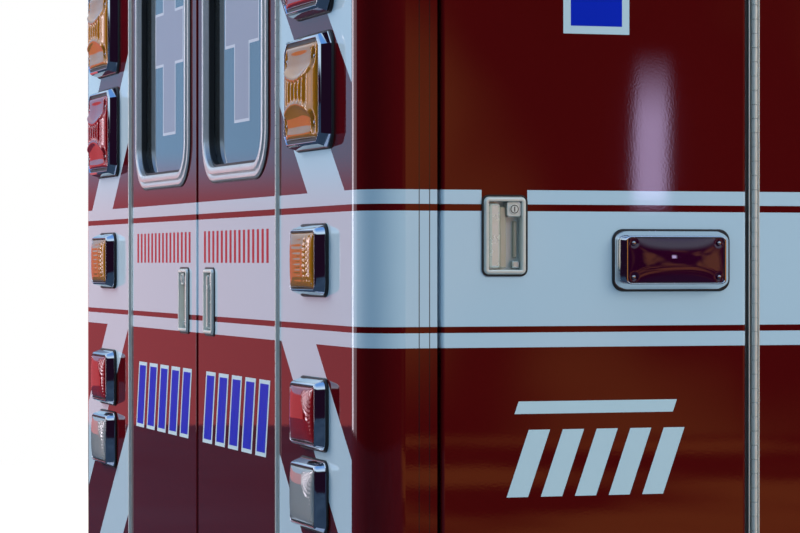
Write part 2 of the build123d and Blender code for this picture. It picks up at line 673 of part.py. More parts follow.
for name, skin, toward, free, hinged, bottom, top, window, latch_in, latch_z in DOORS:
    mid_u, mid_z = (free + hinged) / 2, (bottom + top) / 2
    width, height = abs(hinged - free), top - bottom

    latch_u = free + toward * latch_in
    dish_width = LATCH_WIDTH - 2 * LATCH_RIM
    dish_height = LATCH_HEIGHT - 2 * LATCH_RIM

    # Door panel with its outer edges rounded, its latch pocket and its window cut
    with BuildPart() as door_panel:
        with BuildSketch(shifted(skin, mid_u, mid_z)):
            Rectangle(width, height)
        extrude(amount=-DOOR_THICK)
        fillet(door_panel.faces().sort_by(Axis(skin.origin, skin.z_dir))[-1].edges(), DOOR_EDGE_R)
        with BuildSketch(shifted(skin, latch_u, latch_z)):
            Rectangle(
                dish_width + 2 * (LATCH_SHEET + LATCH_CLEARANCE),
                dish_height + 2 * (LATCH_SHEET + LATCH_CLEARANCE),
            )
        extrude(amount=-(LATCH_DISH + LATCH_SHEET + LATCH_CLEARANCE), mode=Mode.SUBTRACT)
        if window:
            window_width, window_bottom, window_top, window_r = window
            window_height = window_top - window_bottom
            window_mid = (window_bottom + window_top) / 2
            with BuildSketch(shifted(skin, mid_u, window_mid)):
                window_outline(window_width, window_height, window_r, WINDOW_RIM - WINDOW_LIP)
            extrude(amount=-DOOR_THICK, mode=Mode.SUBTRACT)
    save(door_panel, name)

    # Hinge leaf with the door's knuckles, and the flush latch in its pocket
    with BuildPart() as hardware:
        axis_u = hinged + toward * HINGE_TO_DOOR
        with BuildSketch(shifted(skin, 0, bottom, HINGE_PROUD)):
            with Locations((hinged + toward * LEAF / 2, height / 2)):
                Rectangle(LEAF, height)
        extrude(amount=-LEAF_DEPTH)
        for low, high in knuckle_spans(bottom, top, moving=True):
            axis_plane = Plane(
                origin=skin.origin + skin.x_dir * axis_u + skin.y_dir * low + skin.z_dir * HINGE_PROUD,
                x_dir=skin.x_dir,
                z_dir=(0, 0, 1),
            )
            with BuildSketch(axis_plane):
                barrel(KNUCKLE_R)
                out_sign = 1 if axis_plane.y_dir.dot(skin.z_dir) > 0 else -1
                with Locations((-toward * HINGE_TO_DOOR / 2, -out_sign * LEAF / 2)):
                    Rectangle(HINGE_TO_DOOR, LEAF)
                bore(PIN_R)
            extrude(amount=high - low)
        with BuildSketch(shifted(skin, latch_u, latch_z)):
            faceted(LATCH_WIDTH, LATCH_HEIGHT, LATCH_R)
        with BuildSketch(shifted(skin, latch_u, latch_z, LATCH_PLATE)):
            faceted(LATCH_WIDTH - 2 * LATCH_SLOPE, LATCH_HEIGHT - 2 * LATCH_SLOPE, LATCH_R - LATCH_SLOPE)
        loft(ruled=True)
        with BuildSketch(shifted(skin, latch_u, latch_z)):
            Rectangle(dish_width + 2 * LATCH_SHEET, dish_height + 2 * LATCH_SHEET)
        extrude(amount=-(LATCH_DISH + LATCH_SHEET))
        with BuildSketch(shifted(skin, latch_u, latch_z, -LATCH_DISH)):
            Rectangle(dish_width, dish_height)
        extrude(amount=LATCH_DISH + LATCH_PLATE, mode=Mode.SUBTRACT)
        paddle_u = latch_u - toward * (dish_width / 2 - PADDLE_MARGIN - PADDLE_WIDTH / 2)
        with BuildSketch(shifted(skin, paddle_u, latch_z, -LATCH_DISH)):
            Rectangle(PADDLE_WIDTH, dish_height - 2 * PADDLE_MARGIN)
        extrude(amount=LATCH_DISH + PADDLE_PROUD)
        tab_u = latch_u + toward * (dish_width - LOCK_TAB) / 2
        tab_z = latch_z + (dish_height - LOCK_TAB) / 2
        with BuildSketch(shifted(skin, tab_u, tab_z, -LATCH_DISH)):
            Rectangle(LOCK_TAB, LOCK_TAB)
        extrude(amount=LATCH_DISH + LOCK_TAB_PROUD)
        with BuildSketch(shifted(skin, tab_u, tab_z)):
            barrel(LOCK_R)
        extrude(amount=LOCK_PROUD)
    save(hardware, f"{name}_hardware")

    # Window frame clamped round the opening, and its glass
    if window:
        outline = (window_width, window_height, window_r)
        with BuildPart() as window_frame:
            with BuildSketch(shifted(skin, mid_u, window_mid)):
                window_outline(*outline, 0)
            with BuildSketch(shifted(skin, mid_u, window_mid, WINDOW_LAND_PROUD)):
                window_outline(*outline, WINDOW_SLOPE)
            loft(ruled=True)
            with BuildSketch(shifted(skin, mid_u, window_mid)):
                window_outline(*outline, WINDOW_LAND)
            extrude(amount=WINDOW_PROUD)
            with BuildSketch(shifted(skin, mid_u, window_mid)):
                window_outline(*outline, WINDOW_RIM - WINDOW_LIP)
            extrude(amount=-DOOR_THICK)
            with BuildSketch(shifted(skin, mid_u, window_mid, WINDOW_PROUD)):
                window_outline(*outline, WINDOW_RIM)
            extrude(amount=-DOOR_THICK - WINDOW_PROUD, mode=Mode.SUBTRACT)
        save(window_frame, f"{name}_window_frame")
        with BuildPart() as window_glass:
            with BuildSketch(shifted(skin, mid_u, window_mid, -GLASS_SET)):
                window_outline(*outline, WINDOW_RIM)
            extrude(amount=-GLASS)
        save(window_glass, f"{name}_glass")

# Fixed hinge leaves with their knuckles and pins, one for each door
with BuildPart() as fixed_hinges:
    for _, skin, toward, _, hinged, bottom, top, _, _, _ in DOORS:
        axis_u = hinged + toward * HINGE_TO_DOOR
        with BuildSketch(shifted(skin, 0, bottom, HINGE_PROUD)):
            with Locations((axis_u + toward * (HINGE_TO_FRAME - LEAF / 2), (top - bottom) / 2)):
                Rectangle(LEAF, top - bottom)
        extrude(amount=-LEAF_DEPTH)
        axis_plane = Plane(
            origin=skin.origin + skin.x_dir * axis_u + skin.y_dir * bottom + skin.z_dir * HINGE_PROUD,
            x_dir=skin.x_dir,
            z_dir=(0, 0, 1),
        )
        with BuildSketch(axis_plane):
            barrel(PIN_R)
        extrude(amount=top - bottom)
        for low, high in knuckle_spans(bottom, top, moving=False):
            with BuildSketch(shifted(axis_plane, 0, 0, low - bottom)):
                barrel(KNUCKLE_R)
                out_sign = 1 if axis_plane.y_dir.dot(skin.z_dir) > 0 else -1
                with Locations((toward * HINGE_TO_FRAME / 2, -out_sign * LEAF / 2)):
                    Rectangle(HINGE_TO_FRAME, LEAF)
            extrude(amount=high - low)
save(fixed_hinges, "fixed_hinges")


def add_bezel(skin, u, v, size):
    """Return a tapered lamp bezel standing on the skin, open in the middle."""
    width, height, radius, depth, rim, _ = size
    with BuildPart(mode=Mode.PRIVATE) as bezel:
        with BuildSketch(shifted(skin, u, v)):
            faceted(width, height, radius)
        with BuildSketch(shifted(skin, u, v, depth)):
            faceted(width - 2 * BEZEL_TAPER, height - 2 * BEZEL_TAPER, radius - BEZEL_TAPER / 2)
        loft(ruled=True)
        with BuildSketch(shifted(skin, u, v, depth)):
            faceted(width - 2 * rim, height - 2 * rim, radius - BEZEL_TAPER)
        extrude(amount=LENS_SEAT - depth, mode=Mode.SUBTRACT)
    return bezel.part


def add_lens(skin, u, v, size):
    """Return a lens that fills a bezel and crowns over it, a large one with its four screw pockets."""
    width, height, radius, depth, rim, crown = size
    half_width = width / 2 - rim - LENS_CLEARANCE
    half_height = height / 2 - rim - LENS_CLEARANCE
    corner = radius - BEZEL_TAPER
    with BuildPart(mode=Mode.PRIVATE) as lens:
        with BuildSketch(shifted(skin, u, v, LENS_SEAT)):
            faceted(2 * half_width, 2 * half_height, corner)
        extrude(amount=depth - LENS_SEAT)
        for share, come_in in LENS_SECTIONS:
            with BuildSketch(shifted(skin, u, v, depth + share * crown)):
                inset = come_in * crown
                faceted(2 * (half_width - inset), 2 * (half_height - inset), corner * (1 - come_in / 2))
        loft(ruled=True)
        if size == LARGE:
            with BuildSketch(shifted(skin, u, v, depth + LENS_POCKET_FLOOR)):
                spread = (2 * (half_width - LENS_POCKET_IN[0]), 2 * (half_height - LENS_POCKET_IN[1]))
                with GridLocations(*spread, 2, 2):
                    faceted(*LENS_POCKET, LENS_POCKET[0] / 2 - LENS_CLEARANCE, 1)
            extrude(amount=crown, mode=Mode.SUBTRACT)
    return lens.part


# Lamps on the shell: skin plane, u, v, size, colour
LAMPS = []
for z, size, right_colour, left_colour in REAR_LAMPS:
    LAMPS.append((rear_plane(), LAMP_COLUMN_Y, z, size, right_colour))
    LAMPS.append((rear_plane(), -LAMP_COLUMN_Y, z, size, left_colour))
for x, colour in SIDE_LAMPS:
    for side in (RIGHT, LEFT):
        LAMPS.append((side_plane(side), -side * x, SIDE_LAMP_Z, LARGE, colour))
for y, colour in FRONT_LAMPS:
    LAMPS.append((front_plane(), y, HIGH_LAMP_Z, LARGE, colour))
LAMPS.append((rear_plane(), 0, HEADER_LAMP_Z, SMALL, "amber"))

with BuildPart() as lamp_bezels:
    for skin, u, v, size, _ in LAMPS:
        add(add_bezel(skin, u, v, size))
save(lamp_bezels, "lamp_bezels")

for colour in ("red", "amber", "clear"):
    with BuildPart() as lenses:
        for skin, u, v, size, lamp_colour in LAMPS:
            if lamp_colour == colour:
                add(add_lens(skin, u, v, size))
    save(lenses, f"{colour}_lenses")

# Lamps that ride on the two rear locker doors
for row in (SIDE_DOORS[0], SIDE_DOORS[3]):
    skin = side_plane(row[1])
    lamp_u = -row[1] * (row[3] + HINGE_TO_DOOR - DOOR_LAMP_FROM_HINGE)
    with BuildPart() as door_lamp_bezel:
        add(add_bezel(skin, lamp_u, DOOR_LAMP_Z, DOOR_LAMP))
    save(door_lamp_bezel, f"{row[0]}_lamp_bezel")
    with BuildPart() as door_lamp_lens:
        add(add_lens(skin, lamp_u, DOOR_LAMP_Z, DOOR_LAMP))
    save(door_lamp_lens, f"{row[0]}_lamp_lens")

# Cabin furniture: squad bench on the right, base and wall cabinets on the left
bench_rear = REAR_LOCKER_REAR + REAR_LOCKER_WIDTH + HINGE_TO_DOOR + HINGE_TO_FRAME + LINER + FITTING_GAP
bench_front = entry_rear - LINER - FITTING_GAP
with BuildPart() as squad_bench:
    block((bench_rear, bench_front), (-INNER_W, -BENCH_FRONT), (FLOOR_Z, FLOOR_Z + BENCH_HEIGHT))
    with BuildSketch(Plane.XZ.offset(BENCH_FRONT)):
        with Locations((ARCH_X, ARCH_Z)):
            Circle(ARCH_R + LINER + ARCH_CLEARANCE)
    extrude(amount=INNER_W - BENCH_FRONT, mode=Mode.SUBTRACT)
save(squad_bench, "squad_bench")

with BuildPart() as bench_cushions:
    pitch = (bench_front - bench_rear) / BENCH_CUSHIONS
    for i in range(BENCH_CUSHIONS):
        start = bench_rear + i * pitch
        block(
            (start + CUSHION_GAP / 2, start + pitch - CUSHION_GAP / 2),
            (-INNER_W + CUSHION + CUSHION_GAP, -BENCH_FRONT),
            (FLOOR_Z + BENCH_HEIGHT + SOFT_GAP, FLOOR_Z + BENCH_HEIGHT + CUSHION),
        )
        block(
            (start + CUSHION_GAP / 2, start + pitch - CUSHION_GAP / 2),
            (-INNER_W + SOFT_GAP, -INNER_W + CUSHION),
            (BACK_PAD_Z, BACK_PAD_Z + BACK_PAD_HEIGHT),
        )
    chamfer(bench_cushions.edges().filter_by(Axis.X), CUSHION_EDGE)
save(bench_cushions, "bench_cushions")

mid_rear, mid_front, _, mid_top = opening_of(SIDE_DOORS[4])
cabinet_front = FRONT_LOCKER_FRONT - FRONT_LOCKER_WIDTH - GAP - LINER - FITTING_GAP
with BuildPart() as cabinets:
    block((bench_rear, cabinet_front), (BENCH_FRONT, INNER_W), (FLOOR_Z, CABINET_TOP))
    block(
        (mid_rear - LINER - ARCH_CLEARANCE, mid_front + LINER + ARCH_CLEARANCE),
        (INNER_W - LOCKER_DEPTH - ARCH_CLEARANCE, INNER_W),
        (FLOOR_Z, mid_top + LINER + ARCH_CLEARANCE),
        mode=Mode.SUBTRACT,
    )
    with BuildSketch(Plane.XZ.offset(-INNER_W)):
        with Locations((ARCH_X, ARCH_Z)):
            Circle(ARCH_R + LINER + ARCH_CLEARANCE)
    extrude(amount=INNER_W - BENCH_FRONT, mode=Mode.SUBTRACT)
    block((bench_rear, cabinet_front), (INNER_W - UPPER_DEPTH, INNER_W), (UPPER_BOTTOM, EAVES_Z))
save(cabinets, "cabinets")

# Rear-facing attendant seat on a pedestal
seat_half = SEAT_SIZE / 2
seat_top = FLOOR_Z + SEAT_HEIGHT
with BuildPart() as attendant_seat:
    with BuildSketch(Plane.XZ.offset(-seat_half)):
        with BuildLine():
            FilletPolyline(
                (SEAT_X - seat_half, seat_top - SEAT_CUSHION),
                (SEAT_X - seat_half, seat_top),
                (SEAT_X + seat_half - SEAT_CUSHION, seat_top - SEAT_CUSHION / 4),
                (SEAT_X + seat_half - SEAT_CUSHION / 2, seat_top + SEAT_BACK_HEIGHT),
                (SEAT_X + seat_half, seat_top + SEAT_BACK_HEIGHT),
                (SEAT_X + seat_half, seat_top - SEAT_CUSHION),
                radius=SEAT_R,
                close=True,
            )
        make_face()
    extrude(amount=SEAT_SIZE)
    with BuildSketch(Plane.XY.offset(FLOOR_Z)):
        with Locations((SEAT_X, 0)):
            Circle(PEDESTAL_R)
    extrude(amount=SEAT_HEIGHT - SEAT_CUSHION)
save(attendant_seat, "attendant_seat")

# Grab rail under the ceiling
with BuildPart() as grab_rail:
    with BuildSketch(Plane.YZ.offset(GRAB_RAIL_REAR)):
        with Locations((GRAB_RAIL_Y, CEILING_Z - GRAB_RAIL_DROP)):
            barrel(GRAB_RAIL_R)
    extrude(amount=GRAB_RAIL_FRONT - GRAB_RAIL_REAR)
    post_pitch = (GRAB_RAIL_FRONT - GRAB_RAIL_REAR - 4 * GRAB_RAIL_R) / (GRAB_POSTS - 1)
    with BuildSketch(Plane.XY.offset(CEILING_Z)):
        with Locations(((GRAB_RAIL_REAR + GRAB_RAIL_FRONT) / 2, GRAB_RAIL_Y)):
            with GridLocations(post_pitch, 0, GRAB_POSTS, 1):
                barrel(GRAB_POST_R)
    extrude(amount=-GRAB_RAIL_DROP)
save(grab_rail, "grab_rail")
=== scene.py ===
"""Looks of an ambulance patient module: paint, lamps, latches, hinges, windows, trim and cabin.

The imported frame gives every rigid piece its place. All sizes here are in metres, in the frame's axes:
X towards the cab, Y to the left and Z up.
"""
import logging
import math
from collections.abc import Callable, Iterable
from dataclasses import dataclass, field
from enum import Enum
from functools import partial, reduce
from itertools import pairwise, product

import bmesh
import bpy
from mathutils import Matrix, Vector


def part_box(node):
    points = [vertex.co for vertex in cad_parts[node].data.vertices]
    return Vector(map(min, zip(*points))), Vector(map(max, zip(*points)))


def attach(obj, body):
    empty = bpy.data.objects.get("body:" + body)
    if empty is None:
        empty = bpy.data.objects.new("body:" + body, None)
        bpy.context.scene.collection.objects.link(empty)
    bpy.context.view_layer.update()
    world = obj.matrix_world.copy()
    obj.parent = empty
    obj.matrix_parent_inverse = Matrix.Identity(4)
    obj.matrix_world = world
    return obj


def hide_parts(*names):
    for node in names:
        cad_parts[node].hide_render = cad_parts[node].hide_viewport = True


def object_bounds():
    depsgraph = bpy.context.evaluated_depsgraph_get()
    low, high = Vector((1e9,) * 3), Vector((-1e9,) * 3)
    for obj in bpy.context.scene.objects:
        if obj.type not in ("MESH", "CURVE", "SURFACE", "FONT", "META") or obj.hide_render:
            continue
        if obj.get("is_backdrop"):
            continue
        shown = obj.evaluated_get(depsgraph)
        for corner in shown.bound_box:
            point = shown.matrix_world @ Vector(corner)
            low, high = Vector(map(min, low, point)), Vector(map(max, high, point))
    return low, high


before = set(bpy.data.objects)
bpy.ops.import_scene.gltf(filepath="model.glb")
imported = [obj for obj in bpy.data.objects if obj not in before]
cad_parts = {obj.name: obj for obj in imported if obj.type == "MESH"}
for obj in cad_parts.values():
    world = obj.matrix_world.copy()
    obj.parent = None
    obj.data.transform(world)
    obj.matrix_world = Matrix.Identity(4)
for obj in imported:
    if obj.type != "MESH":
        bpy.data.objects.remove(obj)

LOG = logging.getLogger("patient_module")
MM = 0.001
MODULE = "module"

Colour = tuple[float, float, float]
Point = tuple[float, float, float]
Span = tuple[float, float]
TwoSpans = tuple[Span, Span]
TwoColours = tuple[Colour, Colour]
Disc = tuple[float, float, int, float | None]
"""Radius, thickness, number of sides and top radius of a rod."""
Block = tuple[Point, Point, float, float]
"""Low and high corner, corner radius and edge radius of a rounded block, in millimetres."""
Socket = bpy.types.NodeSocket


# Materials


class Graph:
    """A small builder for the nodes of one material or world."""

    def __init__(self, name: str, world: bool = False) -> None:
        """Start a material, or a world, with its output alone."""
        self.owner = (bpy.data.worlds if world else bpy.data.materials).new(name)
        self.owner.use_nodes = True
        self.tree = self.owner.node_tree
        self.tree.nodes.clear()
        self.output = self.node("OutputWorld" if world else "OutputMaterial")

    def node(self, kind: str, inputs: dict | None = None, **settings: object) -> bpy.types.Node:
        """Add a node.

        Args:
            kind: the node's Blender type, less its first word ShaderNode.
            inputs: a socket, a number or a colour for each input, by name or number.
            settings: properties set on the node by name.

        Returns:
            The new node.
        """
        made = self.tree.nodes.new(f"ShaderNode{kind}")
        for name, value in settings.items():
            setattr(made, name, value)
        for key, value in (inputs or {}).items():
            self.feed(made.inputs[key], value)
        return made

    def feed(self, socket: Socket, value: object) -> None:
        """Link a socket into another, or set its default value.

        Args:
            socket: the input.
            value: an output socket, a number or a colour.
        """
        if isinstance(value, bpy.types.NodeSocket):
            self.tree.links.new(value, socket)
        elif isinstance(value, tuple) and len(value) == 3 and socket.type == "RGBA":
            socket.default_value = (*value, 1.0)
        else:
            socket.default_value = value

    def shade(self, shader: bpy.types.Node) -> None:
        """Link a shader to the output."""
        self.feed(self.output.inputs["Surface"], shader.outputs[0])

    def place(self) -> tuple[Socket, Socket, Socket, Socket]:
        """Return the object coordinates as a vector and as X, Y and Z."""
        coordinates = self.node("TexCoord").outputs["Object"]
        return coordinates, *self.node("SeparateXYZ", {0: coordinates}).outputs

    def math(self, operation: str, *values: object) -> Socket:
        """Return a Math node's result on one, two or three values."""
        return self.node("Math", dict(enumerate(values)), operation=operation).outputs[0]

    def band(self, value: Socket, low: float, high: float) -> Socket:
        """Return 1 where value lies between low and high, and 0 elsewhere."""
        return self.both(self.math("GREATER_THAN", value, low), self.math("LESS_THAN", value, high))

    def both(self, *masks: Socket) -> Socket:
        """Return the product of several masks."""
        return reduce(partial(self.math, "MULTIPLY"), masks)

    def either(self, *masks: Socket) -> Socket:
        """Return the largest of several masks."""
        return reduce(partial(self.math, "MAXIMUM"), masks)

    def mix(self, factor: object, first: object, second: object) -> Socket:
        """Return a colour mixed from first to second by factor."""
        return self.node("Mix", {0: factor, 6: first, 7: second}, data_type="RGBA").outputs[2]

    def noise(self, scale: float, detail: float = 3.0, stretch: Point = (1.0, 1.0, 1.0)) -> Socket:
        """Return a noise value on object coordinates, stretched along the axes."""
        mapping = self.node("Mapping", {"Vector": self.place()[0], "Scale": stretch})
        inputs = {"Vector": mapping.outputs[0], "Scale": scale, "Detail": detail}
        return self.node("TexNoise", inputs).outputs[0]

    def between(self, value: Socket, low: float, high: float) -> Socket:
        """Return value, from 0 to 1, spread over low to high."""
        return self.node("MapRange", {"Value": value, "To Min": low, "To Max": high}).outputs[0]

    def smooth(self, value: Socket, start: float, end: float) -> Socket:
        """Return 0 before start and 1 past end, with a soft step between."""
        inputs = {"Value": value, "From Min": start, "From Max": end}
        return self.node("MapRange", inputs, interpolation_type="SMOOTHSTEP").outputs[0]

    def bump(self, height: Socket, strength: float, distance: float, under: Socket | None = None) -> Socket:
        """Return a normal raised by height over distance metres, on top of the normal under it."""
        inputs = {"Height": height, "Strength": strength, "Distance": distance}
        if under is not None:
            inputs["Normal"] = under
        return self.node("Bump", inputs).outputs[0]


def tone(colour: Colour, share: float) -> Colour:
    """Return a colour made darker or brighter by a share, at most white."""
    return tuple(min(1.0, part * share) for part in colour)


@dataclass(frozen=True)
class Finish:
    """A surface finish. Each kind builds one material, once."""

    name: str

    def material(self) -> bpy.types.Material:
        """Return the finish's material, building it at first use."""
        made = bpy.data.materials.get(self.name)
        if made is None:
            graph = Graph(self.name)
            graph.shade(graph.node("BsdfPrincipled", self.inputs(graph)))
            made = graph.owner
        return made

    def inputs(self, graph: Graph) -> dict[str, object]:
        """Return what feeds the main shader, by input, and make the nodes for it."""
        raise NotImplementedError


@dataclass(frozen=True)
class BodyPaint(Finish):
    """Two-tone gloss paint: a belt round the body and diagonal bars on the rear posts."""

    maroon: Colour = (0.078, 0.0024, 0.0032)
    maroon_tones: Span = (0.86, 1.12)
    white: Colour = (0.46, 0.60, 0.74)
    white_tone: float = 0.97
    mottle_scale: float = 1.7
    seam: Colour = (0.012, 0.006, 0.008)
    seam_share: float = 0.85
    film: Span = (0.25, 0.0002)
    peel: Span = (0.02, 0.0004)
    peel_scale: float = 260.0
    smear: Span = (0.24, 0.36)
    smear_scale: float = 5.0
    coat_roughness: float = 0.025
    ior: float = 1.5
    belt: tuple[Span, ...] = ((0.619, 0.645), (0.656, 0.858), (0.870, 0.895))
    bar_pitch: float = 0.5
    bar_slope: float = 1.15
    bar_start: float = 2.13
    bar_share: float = 0.48
    post_inner: float = 0.665
    post_outer: float = 1.145
    rear_face: float = -1.9285
    eaves: float = 1.905
    side_face: float = 1.2
    break_half: float = 0.0425
    break_low: float = 0.8695
    breaks_right: tuple[float, ...] = (-1.673, 0.176, 1.128)
    breaks_left: tuple[float, ...] = (-1.673, 0.026, 1.128)
    seams: tuple[float, ...] = (1.830, 1.811)
    seam_half: float = 0.0009

    def white_mask(self, graph: Graph) -> Socket:
        """Return 1 where the paint is white: on the belt and on the bars."""
        _, x, y, z = graph.place()
        belt = graph.either(*(graph.band(z, low, high) for low, high in self.belt))
        gone = []
        for breaks, test, edge in (
            (self.breaks_right, "LESS_THAN", -self.side_face),
            (self.breaks_left, "GREATER_THAN", self.side_face),
        ):
            side = graph.math(test, y, edge)
            gone += [graph.both(graph.math("COMPARE", x, centre, self.break_half), side) for centre in breaks]
        above = graph.math("GREATER_THAN", z, self.break_low)
        cut = graph.both(graph.either(*gone), above)
        belt = graph.both(belt, graph.math("SUBTRACT", 1.0, cut))
        across = graph.math("ABSOLUTE", y)
        fall = graph.math("MULTIPLY_ADD", z, self.bar_slope, across)
        phase = graph.math("DIVIDE", graph.math("SUBTRACT", self.bar_start, fall), self.bar_pitch)
        bars = graph.math("LESS_THAN", graph.math("FRACT", phase), self.bar_share)
        post = graph.band(across, self.post_inner, self.post_outer)
        rear = graph.math("LESS_THAN", x, self.rear_face)
        clear = graph.math("SUBTRACT", 1.0, graph.band(z, self.belt[0][0], self.belt[-1][1]))
        bars = graph.both(bars, post, rear, clear, graph.math("LESS_THAN", z, self.eaves))
        return graph.either(belt, bars)

    def seam_mask(self, graph: Graph) -> Socket:
        """Return 1 on the thin seams beside the corner posts."""
        _, x, y, z = graph.place()
        along = graph.math("ABSOLUTE", x)
        lines = graph.either(*(graph.math("COMPARE", along, seam, self.seam_half) for seam in self.seams))
        side = graph.math("GREATER_THAN", graph.math("ABSOLUTE", y), self.side_face)
        return graph.both(lines, side, graph.math("LESS_THAN", z, self.eaves))

    def inputs(self, graph: Graph) -> dict[str, object]:
        """Return colours by place, faint unevenness, gloss coat and orange peel."""
        white = self.white_mask(graph)
        seam = graph.math("MULTIPLY", self.seam_mask(graph), self.seam_share)
        mottle = graph.noise(self.mottle_scale, 2.0)
        deep = graph.mix(mottle, *(tone(self.maroon, share) for share in self.maroon_tones))
        pale = graph.mix(mottle, tone(self.white, self.white_tone), self.white)
        film = graph.bump(white, *self.film)
        peel = graph.bump(graph.noise(self.peel_scale, 2.0), *self.peel, film)
        return {
            "Base Color": graph.mix(seam, graph.mix(white, deep, pale), self.seam),
            "Roughness": graph.between(graph.noise(self.smear_scale, 5.0), *self.smear),
            "IOR": self.ior, "Specular IOR Level": 0.0, "Normal": peel, "Coat Normal": peel,
            "Coat Weight": 1.0, "Coat Roughness": self.coat_roughness, "Coat IOR": self.ior,
        }


@dataclass(frozen=True)
class Metal(Finish):
    """Plated, polished, brushed or cast metal. A satin one scatters part of the light."""

    colour: Colour
    roughness: float = 0.2
    spread: float = 0.08
    grain: Point = (1.0, 1.0, 1.0)
    grain_scale: float = 40.0
    grain_depth: float = 0.00008
    grain_strength: float = 0.15
    metallic: float = 1.0
    stain: float = 0.88
    stain_scale: float = 6.0
    least_roughness: float = 0.02

    def inputs(self, graph: Graph) -> dict[str, object]:
        """Return uneven roughness, slight staining and the grain as bump."""
        grain = graph.noise(self.grain_scale, 4.0, self.grain)
        low = max(self.least_roughness, self.roughness - self.spread)
        stain = graph.noise(self.stain_scale, 4.0)
        return {
            "Base Color": graph.mix(stain, tone(self.colour, self.stain), self.colour),
            "Metallic": self.metallic,
            "Roughness": graph.between(grain, low, self.roughness + self.spread),
            "Normal": graph.bump(grain, self.grain_strength, self.grain_depth),
        }


@dataclass(frozen=True)
class Plastic(Finish):
    """Rubber, moulded plastic, laminate, film or coated sheet."""

    colour: Colour
    roughness: float = 0.5
    texture_scale: float = 400.0
    texture_depth: float = 0.0003
    texture_strength: float = 0.25
    change: float = 0.12
    gloss: float = 0.5
    spread: float = 0.08
    cloud_scale: float = 3.0
    wear_scale: float = 12.0

    def inputs(self, graph: Graph) -> dict[str, object]:
        """Return a slight colour change and a fine moulded texture."""
        cloud, wear = graph.noise(self.cloud_scale, 4.0), graph.noise(self.wear_scale, 4.0)
        tones = (tone(self.colour, 1.0 + side * self.change) for side in (-1, 1))
        texture = graph.noise(self.texture_scale, 2.0)
        return {
            "Base Color": graph.mix(cloud, *tones),
            "Specular IOR Level": self.gloss,
            "Roughness": graph.between(wear, self.roughness - self.spread, self.roughness + self.spread),
            "Normal": graph.bump(texture, self.texture_strength, self.texture_depth),
        }


@dataclass(frozen=True)
class Lens(Finish):
    """Clear or tinted moulded lens that lets its reflector show."""

    colour: Colour
    transmission: float = 0.96
    roughness: float = 0.012
    gloss: float = 1.0
    deep_tone: float = 0.90
    cloud_scale: float = 9.0
    haze: float = 2.5
    haze_scale: float = 18.0
    ior: float = 1.55
    coat_roughness: float = 0.012
    coat_ior: float = 1.6

    def inputs(self, graph: Graph) -> dict[str, object]:
        """Return tinted transmission under a hard gloss."""
        haze, cloud = graph.noise(self.haze_scale), graph.noise(self.cloud_scale, 2.0)
        return {
            "Base Color": graph.mix(cloud, tone(self.colour, self.deep_tone), self.colour),
            "Roughness": graph.between(haze, self.roughness, self.roughness * self.haze),
            "IOR": self.ior, "Transmission Weight": self.transmission,
            "Coat Weight": self.gloss, "Coat Roughness": self.coat_roughness, "Coat IOR": self.coat_ior,
        }


@dataclass(frozen=True)
class TintedGlass(Finish):
    """Tinted window glass with a frosted plain cross in its middle."""

    centre_up: float
    centre_across: float
    rear: bool
    half_width: float = 0.13
    half_height: float = 0.21
    arm: float = 0.055
    outline: float = 0.006
    tint: Colour = (0.30, 0.37, 0.40)
    frost: Colour = (0.33, 0.31, 0.42)
    frost_edge: Colour = (0.72, 0.70, 0.82)
    roughness: Span = (0.01, 0.55)
    transmission: Span = (0.96, 0.25)
    coat_roughness: float = 0.02

    def cross(self, graph: Graph, grow: float) -> Socket:
        """Return the cross mask, grown by that much on every side."""
        _, x, y, z = graph.place()
        across = graph.math("SUBTRACT", graph.math("ABSOLUTE", y) if self.rear else x, self.centre_across)
        up = graph.math("SUBTRACT", z, self.centre_up)
        arms = []
        for half in ((self.arm, self.half_height), (self.half_width, self.arm)):
            wide, tall = (reach + grow for reach in half)
            arms.append(graph.both(graph.band(across, -wide, wide), graph.band(up, -tall, tall)))
        return graph.either(*arms)

    def inputs(self, graph: Graph) -> dict[str, object]:
        """Return a dark tint, and a matt cross with a thin pale outline."""
        outer = self.cross(graph, self.outline)
        edge = graph.math("SUBTRACT", outer, self.cross(graph, 0.0))
        return {
            "Base Color": graph.mix(outer, self.tint, graph.mix(edge, self.frost, self.frost_edge)),
            "Roughness": graph.between(outer, *self.roughness),
            "IOR": 1.5, "Transmission Weight": graph.between(outer, *self.transmission),
            "Coat Weight": 1.0, "Coat Roughness": self.coat_roughness,
        }


@dataclass(frozen=True)
class Vinyl(Finish):
    """Stitched coated fabric with a fine leather grain."""

    colour: Colour = (0.035, 0.05, 0.10)
    worn_tone: float = 1.6
    wear_scale: float = 7.0
    roughness: Span = (0.38, 0.55)
    cell_scale: float = 420.0
    cell_bump: Span = (0.5, 0.0006)
    sheen: float = 0.12

    def inputs(self, graph: Graph) -> dict[str, object]:
        """Return pebbled grain, soft sheen and worn high spots."""
        place = {"Vector": graph.place()[0], "Scale": self.cell_scale}
        cells = graph.node("TexVoronoi", place, feature="DISTANCE_TO_EDGE")
        wear = graph.noise(self.wear_scale, 4.0)
        return {
            "Base Color": graph.mix(wear, self.colour, tone(self.colour, self.worn_tone)),
            "Roughness": graph.between(wear, *self.roughness),
            "Normal": graph.bump(cells.outputs["Distance"], *self.cell_bump),
            "Sheen Weight": self.sheen,
        }


